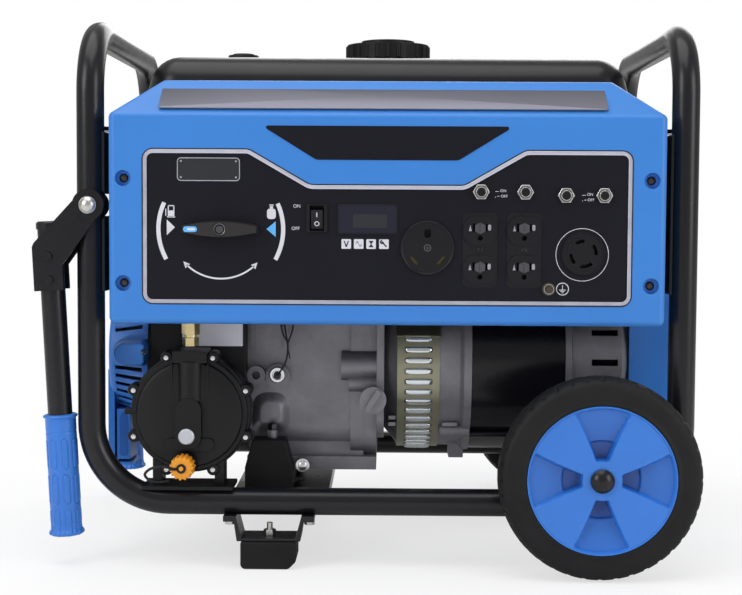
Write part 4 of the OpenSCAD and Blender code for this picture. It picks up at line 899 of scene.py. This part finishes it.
fitted("travel_screw", [
    lathe("ring", travel_at, [(2.5, -236.0), (3.7, -236.0), (3.7, -236.9), (2.5, -236.9)], 32,
          ring=True),
    lathe("head", travel_at, [(0, -236.0), (1.1, -236.0), (1.1, -236.4), (0, -236.5)], 24)],
    steel_dark)

# Duplex faces: a raised six-sided block between the blade openings, and the bright ends of the
# two contacts beside it.
glint = plated("glint", (0.62, 0.62, 0.66), 0.3, (300.0, 300.0, 300.0))
block_grey = moulded("block_grey", (0.060, 0.060, 0.066), 0.36, 0.00001, 0.4)
duplex_face, duplex_z, half_spacing = -236.8, 327.0, 38.9 / 2
blocks, seams, ends_left, ends_right = [], [], [], []
for x in (93.0, 137.0):
    for z in (duplex_z - half_spacing, duplex_z + half_spacing):
        six = [(-5.4, 3.4), (0, 6.2), (5.4, 3.4), (5.4, -3.4), (0, -6.2), (-5.4, -3.4)]
        blocks.append(rounded_path(six, [0.7] * 6, 3) * (1, 0.98) + (x, z + 2.4))
        seams.append(framed(x - 0.4, z + 2.4, 0.5, 11.5, 0.1, 2))
        ends_left.append(np.array([(-11.6, -0.4), (-8.2, -0.4), (-9.9, 5.8)]) + (x, z))
        ends_right.append(framed(x + 9.2, z + 3.2, 3.6, 6.4, 1.6, 5))
placed("duplex_blocks", printed("duplex_blocks", blocks, duplex_face, 1.4, 0.5), block_grey,
       "frame")
placed("duplex_seams", printed("duplex_seams", seams, -238.1, 0.2), line_black, "frame")
placed("duplex_contacts", printed("duplex_contacts", ends_left + ends_right, duplex_face, 0.6,
                                  0.25), glint, "frame")

# Fuel selector: a long lens-shaped bar with a recessed screw, whose blue mark shows the fuel.
bar_dark = moulded("bar_dark", (0.018, 0.016, 0.017), 0.4, 0.00003, 0.4)
dial_at = (dial[0], 0, dial[1])
way = np.linspace(-1.0, 1.0, 25)
lens_top = np.stack([38 * way, 4 + 4.6 * (1 - way ** 2)], -1)
lens = np.vstack([lens_top[::-1], lens_top * (1, -1)]) + dial
hollow = lathe("hollow", dial_at, [(0, -246.4), (6, -246.4), (6.6, -250), (0, -250)], 32)
bar = carved(printed("selector_bar", [lens], -237.4, 11.4, 1.4), closed_mesh("hollow", [hollow]))
placed("selector_bar", bar, bar_dark, "selector", ("fuel_selector",))
fitted("selector_stem", [lathe("stem", dial_at, [
    (0, -237.3), (7.5, -237.3), (7.5, -233.3), (5, -233.3), (5, -209), (0, -209)], 32)],
    outlet_black, "selector")
fitted("selector_screw", [
    lathe("screw", dial_at, [(0, -246.3), (4.2, -246.3), (4.2, -247.3), (3.6, -247.9),
                             (2.0, -247.9), (1.6, -247.0), (0, -247.0)], 32),
    lathe("rim", dial_at, [(5.0, -246.2), (5.9, -246.2), (5.9, -248.9), (5.0, -248.6)], 40,
          ring=True)], steel_dark, "selector")
# The blue mark, and a white oval in its middle that is a painted highlight.
for name, oval, depth, thick, ink_colour in (
        ("selector_mark", framed(dial[0] - 29, dial[1], 13.6, 5.6, 2.6), -248.7, 0.25, ink_blue),
        ("selector_mark_highlight", framed(dial[0] - 28, dial[1], 8.0, 2.4, 1.1), -248.9, 0.16,
         ink_white)):
    placed(name, printed(name, [oval], depth, thick), ink_colour, "selector")

# Meter window with its bezel line, breaker nuts with an inner ring, and the ringed earth stud.
meter_blue = moulded("meter_blue", (0.014, 0.015, 0.028), 0.2, 0.00001, 0.3)
placed("meter_window", printed("meter_window", [framed(-19.5, 357.0, 57.4, 27.4, 2.0)], -236.2,
                               0.5, 0.3), meter_blue, "frame")
placed("meter_display", printed("meter_display", [framed(-17.0, 355.5, 34, 13.5, 1.0)], -236.65,
                                0.15), line_black, "frame")
finished("breakers", nickel, 0.0004)
fitted("breaker_rings", [
    lathe("nut_ring", (x, 0, z), [(5.4, -239.0), (6.3, -239.0), (6.3, -239.5), (5.4, -239.5)], 32,
          ring=True)
    for x, z in ((93.5, 385), (137.5, 385), (178, 382), (216, 382))], steel_dark)
fitted("earth_stud_rings", [
    lathe("stud_ring", (162.0, 0, 288.5), [(r, -234.6), (r + 0.7, -234.6),
                                           (r + 0.7, -235.5 - lift), (r, -235.5 - lift)], 32,
          ring=True)
    for r, lift in ((1.9, 3.2), (4.4, 2.2))], nickel)

# Rocker of the engine switch, tipped about its pin, with its two marks.
rocker_tip, rocker_pin = radians(10.0), np.array((-228.7, 358.0))


def tipped(mesh):
    """The mesh turned about the rocker's pin."""
    def turn(co):
        y, z = (co[:, 1:] - rocker_pin / 1000).T
        return np.stack([co[:, 0],
                         y * cos(rocker_tip) - z * sin(rocker_tip) + rocker_pin[0] / 1000,
                         y * sin(rocker_tip) + z * cos(rocker_tip) + rocker_pin[1] / 1000], -1)
    return reshaped(mesh, turn)


rocker_x = -70.0
rocker_face = framed(rocker_x, rocker_pin[1], 13.0, 20.2, 0.8)
rocker = placed("rocker", tipped(printed("rocker", [rocker_face], -226.0, 9.4, 0.7)), outlet_black,
                "switch_key", ("engine_switch",))
edge_round(rocker, 0.0006)
placed("rocker_marks", tipped(closed_mesh("rocker_marks", [
    printed("bar", [framed(rocker_x, 362.6, 0.9, 4.8, 0.3)], -235.35, 0.16),
    lathe("ring", (rocker_x, 0, 353.6), [(1.7, -235.35), (2.5, -235.35), (2.5, -235.5),
                                         (1.7, -235.5)], 32, ring=True)])),
    ink_white, "switch_key")

# ---------------------------------------------------------------- engine
# Sand-cast aluminium crankcase, cover, cylinder and head, with a painted steel rocker cover.

def sand_cast(name, colour, rough, metallic=0.75, glow=0.5):
    """Cast aluminium: sandy skin, dull blotches and slightly brighter high spots."""
    coat = Coat(name)
    blotch = coat.speckle(26.0, 5.0, 0.6)
    skin = coat.speckle(850.0, 3.0, 0.65)
    metal = coat.blend(blotch.over(0.5, 0.4), tuple(c * 0.72 for c in colour), colour)
    return coat.done(Base_Color=metal, Metallic=metallic, Roughness=skin * 0.2 + (rough - 0.1),
                     Specular_IOR_Level=glow,
                     Normal=coat.relief(skin * 0.8 + blotch * 0.2, 0.00016))


cast_grey = sand_cast("cast_grey", (0.26, 0.255, 0.28), 0.5)
for node in ("crankcase", "crankcase_cover", "cylinder_head", "alternator_adapter", "end_bell",
             "carburettor"):
    finished(node, cast_grey, 0.0012)
frame["nodes"]["oil_cap"].material_slots[0].material = cast_grey
finished("rocker_cover", tank_black, 0.0, 50.0)
for node in ("fan_housing", "air_cleaner"):
    finished(node, black_plastic, 0.001)
cover_blue = moulded("cover_blue", (0.030, 0.170, 0.560), 0.4, 0.00004, 0.4)
finished("end_cover", cover_blue, 0.001)
olive_zinc = plated("olive_zinc", (0.30, 0.29, 0.21), 0.36, (60.0, 900.0, 900.0))
finished("vent_band", olive_zinc, 0.0003)
stator_black = sprayed("stator_black", (0.003, 0.003, 0.0045), 0.26, 0.00004, 0.25)
finished("stator", stator_black, 0.0006)
finished("muffler", stator_black, 0.0008)
brass = plated("brass", (0.86, 0.70, 0.38), 0.24, (300.0, 900.0, 300.0))
finished("gas_fitting", brass, 0.0005)
finished("gas_hose", foot_rubber, 0.0, 80.0)
finished("choke_lever", zinc, 0.0003)
finished("flywheel", cast_grey, 0.0008)
winding = plated("winding", (0.36, 0.15, 0.05), 0.45, (80.0, 900.0, 900.0))
finished("rotor_shaft", winding, 0.0008)

# ---------------------------------------------------------------- recoil starter
# Blue moulded cover: a louvred cone with a rolled edge round a slotted end disc, a seat for the
# pull grip and a braced leg. The grip rides out on its rope.

crank_y, crank_z = -45.0, 206.0
grip_z = crank_z + 8.6
rope_x, rope_z, rope_back, rope_length = -274, 210, -120, 32.4


def louvred_shell():
    """Lathe about the crank line over a profile of radius and X. Its columns stand at the edges of
    every louvre, so the louvres are whole cells of the grid, and those cells are left out."""
    roll = np.radians(np.linspace(90.0, 0.0, 5))
    profile = np.vstack([
        [(8, -302), (34, -302), (36, -302), (58, -302), (60, -302)],
        np.stack([62 + 6 * np.cos(roll), -296 - 6 * np.sin(roll)], -1),
        [(68.6, -294.4), (80.4, -263.0), (81, -262), (82.5, -255), (94, -255)]])
    cone_row, disc_row = len(profile) - 5, 2
    seat_gap, cone_half, disc_half = 34.0, 1.75, 4.9
    cone = 99.7 + np.arange(43) * (360.0 - seat_gap) / 42
    disc = np.arange(12) * 30.0
    edges = np.concatenate([cone - cone_half, cone + cone_half,
                            disc - disc_half, disc + disc_half]) % 360.0
    angle = np.unique(np.round(edges, 3))
    fine = np.concatenate([np.linspace(a, b, max(2, int((b - a) / 2.5) + 1))[:-1]
                           for a, b in zip(angle, np.append(angle[1:], angle[0] + 360.0))])
    spin = np.radians(fine)[None, :]
    radius, along = profile[:, :1], profile[:, 1:]
    points = np.stack(np.broadcast_arrays(along, crank_y - radius * np.sin(spin),
                                          crank_z + radius * np.cos(spin)), -1)
    shell = grid_mesh("recoil_shell", points / 1000 + (middle, 0.0, 0.0), closed_v=True)
    half_cell = (fine + np.append(fine[1:], fine[0] + 360.0)) / 2 % 360.0

    def inside(slots, half_width):
        apart = (half_cell[:, None] - slots[None] + 180.0) % 360.0 - 180.0
        return np.abs(apart).min(1) < half_width

    gone = np.zeros((len(profile) - 1, len(fine)), bool)
    gone[cone_row] = inside(cone, cone_half)
    gone[disc_row] = inside(disc, disc_half)
    work = bmesh.new()
    work.from_mesh(shell)
    work.faces.ensure_lookup_table()
    bmesh.ops.delete(work, geom=[work.faces[i] for i in np.flatnonzero(gone.ravel())],
                     context="FACES")
    bmesh.ops.recalc_face_normals(work, faces=work.faces)
    for edge in work.edges:
        edge.smooth = len(edge.link_faces) != 2 or edge.calc_face_angle(0.0) < radians(35.0)
    work.to_mesh(shell)
    work.free()
    return shell


cover = placed("recoil_cover_shell", louvred_shell(), cover_blue, "frame",
               ("recoil_cover",))
wall = cover.modifiers.new("wall", "SOLIDIFY")
wall.thickness, wall.offset = 0.0026, -1.0


def grip_path(x0, x1, tall, z):
    """Side outline of the grip and its seat: round at the outer end, chamfered at the inner."""
    r = tall / 2
    arc = np.radians(np.linspace(90.0, 270.0, 17))
    round_end = np.stack([x0 + r + r * np.cos(arc), z + r * np.sin(arc)], -1)
    cut = 5
    return np.vstack([round_end, [(x1 - cut, z - r), (x1, z - r + cut), (x1, z + r - cut),
                                  (x1 - cut, z + r)]])


seat_path = grip_path(-291, -248, 31, grip_z)
seat = placed("grip_seat", printed("grip_seat", [seat_path], -100, 49.0, 1.0), cover_blue, "frame")
edge_round(seat, 0.0018, 30.0, 3)
fitted("starter_hub", [lathe("hub", (0, crank_y, crank_z), [
    (0, -300.6), (24, -300.6), (29, -302), (26, -306.6), (22, -307.4), (0, -307.4)], 64, "x")],
    cover_blue)
leg = fitted("starter_leg", [
    printed("brace", [framed(-287.6, 119.0, 17.0, 58.0, 2.0)], -58, 40.0, 1.2),
    printed("brace_side", [framed(-300.5, 139.5, 9.0, 104.0, 1.5)], -56, 44.0, 1.0),
    printed("brace_foot", [framed(-287.0, 87.0, 20.0, 4.0, 1.0)], -56, 46.0, 0.6)],
    cover_blue, hard=30.0)
edge_round(leg, 0.0008, 30.0, 2)
# Painted shade: a thin plate of darker blue down the middle of the leg stands for the shade in its hollow channel.
channel_shade_blue = moulded("channel_shade_blue", (0.016, 0.100, 0.38), 0.45, 0.00004, 0.3)
channel_shade_outline = rounded_path([(-292, 95), (-283, 95), (-283, 138), (-287.5, 146), (-292, 138)],
                      [3, 3, 2, 2, 2])
placed("leg_channel_shade", printed("leg_channel_shade", [channel_shade_outline], -97.9, 0.6), channel_shade_blue, "frame")
grip_face = printed("pull_grip", [grip_path(-287.5, -250, 29, grip_z)], -158.0, 18.0, 3.0)
grip = fitted("pull_grip_piece", [grip_face, lathe("grip_neck", (rope_x, 0, rope_z), [
    (0, -159), (9, -159), (9, -152.4), (3, -152.4), (0, -152.4)], 32)], cover_blue,
    "pull_grip", ("recoil_handle",))
edge_round(grip, 0.0022, 30.0, 3)
fitted("grip_eyelet", [lathe("eyelet", (-252.6, 0, grip_z + 2.4), [
    (1.5, -175.0), (3.4, -175.0), (3.4, -176.3), (2.6, -177.0), (1.5, -176.3)], 32, ring=True)],
    steel_dark, "pull_grip")

# Braided cord from the reel to the grip: two crossing sets of strands raise its skin. It pays out
# of the seat as the grip is pulled.
cord_black = rubbery("cord_black", (0.010, 0.010, 0.011), 0.7, 0.00010)


def braided():
    """Rings of the cord along its reach from 0 to 1. Its radius rises by the size of two sines of
    the angle that wind opposite ways, and is nothing at the middles of both ends."""
    reach = np.concatenate([[0.0], np.linspace(0.0, 1.0, 97), [1.0]])[:, None]
    angle, strands, wound = turns(24), 4, 40.0
    strand = (np.abs(np.sin(angle * strands + reach * wound)) +
              np.abs(np.sin(angle * strands - reach * wound)))
    radius = 2.25 + 0.12 * strand
    radius[0], radius[-1] = 0.0, 0.0
    points = np.stack(np.broadcast_arrays(rope_x + radius * np.cos(angle),
                                          rope_back - rope_length * reach,
                                          rope_z + radius * np.sin(angle)), -1)
    return grid_mesh("rope", points / 1000 + (middle, 0.0, 0.0), closed_v=True)


rope = fitted("starter_rope_piece", [braided()], cord_black, None, ("starter_rope",),
              80.0)
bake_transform(rope)

# Reel on the crank line behind the cover's slots.
reel = lathe("reel", (0, crank_y, crank_z), [
    (9.1, -292), (60, -292), (61, -291), (61, -289.5), (52, -287), (52, -269), (61, -266.5),
    (61, -264), (30, -264), (30, -262.5), (9.1, -262.5)], 96, "x", ring=True)
fitted("recoil_reel_piece", [reel], black_plastic, "reel", ("recoil_reel",))

# ---------------------------------------------------------------- gas regulator
# Die-cast two-stage regulator in satin black: a screwed round cover with a gas passage, a raised
# oval, bright screws and plug, and legs on a base plate that is welded to the rail.

low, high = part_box("dust_cap")
inlet = np.array((((low.x + high.x) / 2 - middle) * 1000, (low.z + high.z) / 2 * 1000))
inlet_at = (inlet[0], 0, inlet[1])
reg = inlet + (4.0, 51.0)
regulator_black = sand_cast("regulator_black", (0.0045, 0.0045, 0.0055), 0.40, 0.0, 0.28)
lug_turn = np.radians(np.arange(8) * 45.0 + 22.5)
lug_at = [reg + 62.5 * np.array((cos(a), sin(a))) for a in lug_turn]
x, z = reg
shapes = [
    lathe("cover", (x, 0, z), [
        (0, -206.5), (30, -206.4), (51, -205.2), (53.5, -204.4), (54.5, -202.8), (55, -200.8),
        (58.6, -200.6), (59.4, -199.8), (59.6, -192), (60.2, -191.4), (61.6, -191.2), (62, -190.4),
        (62, -164), (60, -163), (0, -163)], 96),
    printed("head", [framed(x + 1, z + 59, 37, 14, 3)], -172, 37.5, 1.0),
    lathe("passage", (x + 1, -198, 0), [(0, z + 12), (14, z + 14), (14, z + 54), (0, z + 54)], 48,
          "z"),
    printed("oval", [framed(x, z - 9, 31, 57, 15.0)], -190, 22.4, 2.4),
    printed("wide_boss", [framed(x + 1, z - 31, 54, 17, 8)], -190, 19.0, 2.0),
    lathe("inlet_boss", inlet_at, [(0, -180), (13.6, -180), (12.6, -214.5), (11.6, -216),
                                   (0, -216)], 40),
    printed("foot_plate", [framed(x - 1, 80.8, 94, 4.4, 1.0)], -166, 48.0, 0.3)]
shapes += [printed("rib", [framed(x + 1 + side_x, z + 7.5, 2.2, 91, 0.9)], -196, 10.6, 0.5)
           for side_x in (-18.5, 18.5)]
shapes += [lathe("lug", (px, 0, pz), [(0, -176), (6.6, -176), (6.5, -198.6), (5.6, -200),
                                      (0, -200)], 28) for px, pz in lug_at]
shapes += [printed("leg", [framed(x + side_x, 101, 11, 40, 0.8)], -176, 22.0, 0.5)
           for side_x in (-33.5, 30.5)]
shapes.append(lathe("pivot_stub", (x - 52, -198, z + 2), [(0, -16), (3.5, -15), (3.5, 6), (0, 7)],
                    24, "x"))
body = fitted("gas_regulator_body", shapes, regulator_black,
              stands_for=("gas_regulator",), hard=34.0)
edge_round(body, 0.0006, 34.0, 2)
bright = plated("bright_zinc", (0.78, 0.78, 0.80), 0.26, (300.0, 300.0, 300.0))
fitted("regulator_screws", [lathe("cover_screw", (px, 0, pz), [
    (0, -199.5), (2.9, -199.5), (3.0, -201.6), (2.4, -202.5), (1.2, -202.7), (1.1, -201.9),
    (0, -201.9)], 24) for px, pz in lug_at], bright)
plug = lathe("plug", (x - 1.7, 0, z - 22), [
    (0, -212), (8.2, -212), (8.2, -214.6), (7.2, -215.5), (0, -215.5)], 48)
plug_white = plated("plug_zinc", (0.66, 0.68, 0.74), 0.5, (200.0, 200.0, 200.0))
fitted("regulator_plug", [plug], plug_white)
thread = [(6.0 - 0.5 * (i % 2), -216.0 - 0.9 * i) for i in range(19)]
nipple = lathe("nipple", inlet_at, [(0, -215)] + thread + [
    (5.4, -233), (3.4, -233), (3.0, -222), (0, -222)], 40)
fitted("inlet_nipple", [nipple], brass)

# Amber dust cap with a ribbed skirt and the end of its strap under a domed button.
cap_amber = moulded("cap_amber", (0.72, 0.28, 0.012), 0.4, 0.00004)
skirt = lathe("skirt", inlet_at, [
    (0, -233.4), (6.4, -233.4), (6.4, -216.6), (11.4, -216.6), (11.8, -217.4), (11.8, -233.8),
    (11.0, -235.2), (9.4, -236.0), (0, -236.2)], 180)
rib_count, rib_height, ribs_from = 15, 0.07, 0.0108


def ribbed(co):
    """Points of the skirt, whose radius beyond ribs_from swells with the cosine of the angle."""
    centre = np.array((inlet[0] / 1000 + middle, 0.0, inlet[1] / 1000))
    ray = co - centre
    around = np.arctan2(ray[:, 2], ray[:, 0])
    outer = (np.hypot(ray[:, 0], ray[:, 2]) > ribs_from)[:, None]
    swell = 1.0 + rib_height * np.cos(rib_count * around)[:, None] * outer * (1.0, 0.0, 1.0)
    return centre + ray * swell


fitted("dust_cap_piece", [reshaped(skirt, ribbed)], cap_amber, "inlet_cap",
       ("dust_cap",), 30.0)
fitted("dust_cap_button", [lathe("button", inlet_at, [
    (0, -236.9), (2.4, -236.9), (2.2, -238.0), (0, -238.4)], 24)], cap_amber,
    "inlet_cap")
fitted("strap_end", [
    lathe("strap_eye", inlet_at, [(2.3, -236.2), (4.9, -236.2), (4.9, -237.3), (2.3, -237.3)], 32,
          ring=True),
    printed("strap", [framed(inlet[0] - 8.2, inlet[1] - 0.4, 8.6, 2.6, 1.1)], -236.3, 1.0)],
    outlet_black, "inlet_cap")


def wire(name, points, radius, sides=10):
    """Round wire: a ring of points square to the path at each of its points, ends closed."""
    path = np.array(points, float)
    fine = np.linspace(0, len(path) - 1, 12 * (len(path) - 1) + 1)
    slopes = np.gradient(path, axis=0)
    at = np.clip(fine.astype(int), 0, len(path) - 2)
    t = (fine - at)[:, None]
    p0, p1, m0, m1 = path[at], path[at + 1], slopes[at], slopes[at + 1]
    line = ((2 * t ** 3 - 3 * t ** 2 + 1) * p0 + (t ** 3 - 2 * t ** 2 + t) * m0 +
            (3 * t ** 2 - 2 * t ** 3) * p1 + (t ** 3 - t ** 2) * m1)
    along = np.gradient(line, axis=0)
    along /= np.linalg.norm(along, axis=1, keepdims=True)
    across = np.cross(along, np.array((0.31, 0.17, 0.93)))
    across /= np.linalg.norm(across, axis=1, keepdims=True)
    other = np.cross(along, across)
    angle = turns(sides)[0][None, :, None]
    ray = np.cos(angle) * across[:, None] + np.sin(angle) * other[:, None]
    tube = np.vstack([np.repeat(line[None, :1], sides, 1), line[:, None] + radius * ray,
                      np.repeat(line[None, -1:], sides, 1)])
    return grid_mesh(name, tube / 1000 + (middle, 0.0, 0.0), closed_v=True)


# Moulded tether of the dust cap: from the strap's end round in one loop to the regulator's foot.
tether_path = [[-213.5, -236.8, 104.6], [-224, -237, 107], [-236, -236, 105], [-243, -233, 98.5],
               [-239, -229, 92], [-230, -225, 89.5], [-220, -221, 90]]
tether = fitted("dust_cap_tether", [wire("tether", tether_path, 1.4)], outlet_black,
                None)
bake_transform(tether)

# ---------------------------------------------------------------- small engine fittings
# Pressed hoods of the vent band, the bare pale plate on the fan housing, the chrome sensor nut with
# its lead, the soft swelling of the case, and the stud and bolt at the engine's foot.

hood_steel = plated("hood_steel", (0.74, 0.78, 0.80), 0.24, (60.0, 900.0, 900.0))


def hood():
    """Louvre hood on the band as places along X, arc and rise in mm: a long oval dome, level across
    most of its width and rounded down at its edges and ends."""
    long_way = np.linspace(-1.0, 1.0, 25)[:, None]
    short_way = np.linspace(-1.0, 1.0, 13)[None, :]
    end = (1.0 - np.abs(long_way) ** 5)
    x = 34.5 + 14.6 * long_way + 0 * short_way
    arc = 3.7 * short_way * np.sqrt(np.clip(end, 0.0, 1.0))
    rise = 2.3 * np.sqrt(np.clip(1.0 - short_way ** 4, 0.0, 1.0)) * np.clip(end, 0.0, 1.0) ** 0.5
    return x, arc, rise


hood_grids = []
band_radius, first_hood, hood_pitch = 104.5, 83.0, 6.3
x_mm, arc_mm, rise_mm = hood()
for i in range(-1, 20):
    swing = radians(first_hood + hood_pitch * i) + arc_mm / band_radius
    top_r, foot_r = band_radius + 0.1 + rise_mm, band_radius - 0.5 + 0 * rise_mm
    sheets = [np.stack([x_mm, crank_y - r * np.sin(swing), crank_z + r * np.cos(swing)], -1)
              / 1000 + (middle, 0.0, 0.0) for r in (top_r, foot_r)]
    wall_ring = [np.stack([s[0] for s in sheets]), np.stack([s[-1] for s in sheets]),
                 np.stack([s[:, 0] for s in sheets]), np.stack([s[:, -1] for s in sheets])]
    hood_grids += [grid_mesh("hood", g) for g in sheets + wall_ring]
fitted("band_hoods", hood_grids, hood_steel, hard=50.0)

label_bare = moulded("label_bare", (0.80, 0.80, 0.88), 0.5, 0.00002)
placed("bare_label", printed("bare_label", [framed(-183, 235.6, 63.6, 27.0, 1.0)], -157.0, 0.5),
       label_bare, "frame")
chrome = plated("chrome", (0.75, 0.76, 0.80), 0.16, (300.0, 300.0, 300.0))
sensor_at = (-115.5, 0, 190.5)
fitted("sensor_nut", [lathe("sensor_nut", sensor_at, [
    (0, -139), (8.8, -139), (8.8, -144.6), (7.6, -146.2), (5.4, -146.2), (5.0, -144.6),
    (0, -144.6)], 48)], chrome)
fitted("sensor_core", [lathe("core", sensor_at, [
    (0, -144.5), (4.2, -144.5), (3.6, -147.2), (0, -148.0)], 32)], line_black)
sensor_lead = [[-115.5, -147, 190.5], [-112, -152, 195], [-106, -152, 206], [-104, -152, 221],
               [-107, -150, 240], [-110, -146, 262]]
wires = [wire("lead", sensor_lead, 1.0),
         wire("branch", [[-104.5, -152, 224], [-99, -153, 240], [-97, -152, 262]], 0.9),
         wire("loop", [[-104.5, -151, 226], [-110, -152, 238], [-113, -151, 262]], 0.9),
         wire("tie", [[-104.5, -152, 219], [-102.5, -153.2, 214], [-101.8, -153, 209]], 0.7)]
fitted("sensor_wires", wires, outlet_black)

# Soft swelling of the case: rings of one arch, drawn in towards its middle by 1 - 0.6 t and
# brought forwards by t^2 (3 - 2 t), then a flat top.
arch = rounded_path([(-148, 124), (-100, 124), (-100, 173), (-148, 173)], [10, 10, 19, 19], 12)
arch_middle, case_front, swell = np.array([-124.0, 148.5]), -123.0, 10.0
t = np.linspace(0.0, 1.0, 17)
shrink = np.concatenate([[0.0, 1.0], 1 - 0.6 * t, [0.0]])[:, None, None]
forward = case_front + 1.5 - swell * np.concatenate([[-0.2, -0.2], t ** 2 * (3 - 2 * t), [1.0]])
bulge = closed_mesh("case_bulge", [grid_mesh("bulge", on_front(
    arch_middle + (arch - arch_middle) * shrink, forward[:, None]), closed_v=True)], hard=60.0)
placed("case_bulge", bulge, cast_grey, "frame")

# Stud and cap nut that hold the engine's foot to its isolator, and the bolt through its flange.
stud_foot = (-121, -140, 0)
fitted("isolator_stud", [lathe("stud", stud_foot, [
    (0, 122.5), (5.4, 122.5), (5.4, 131), (0, 131)], 32, "z")], cast_grey)
fitted("isolator_nut", [lathe("cap_nut", stud_foot, [
    (0, 130.6), (5.2, 130.6), (5.2, 136.4), (3.4, 138.6), (0, 139.2)], 6, "z")],
    outlet_black)
fitted("foot_flange_bolt", [lathe("bolt", (-88, 0, 95), [
    (0, -150), (7.2, -150), (7.2, -152.2), (4.8, -152.4), (4.6, -155.6), (3.6, -156.4),
    (0, -156.4)], 32)], bright)
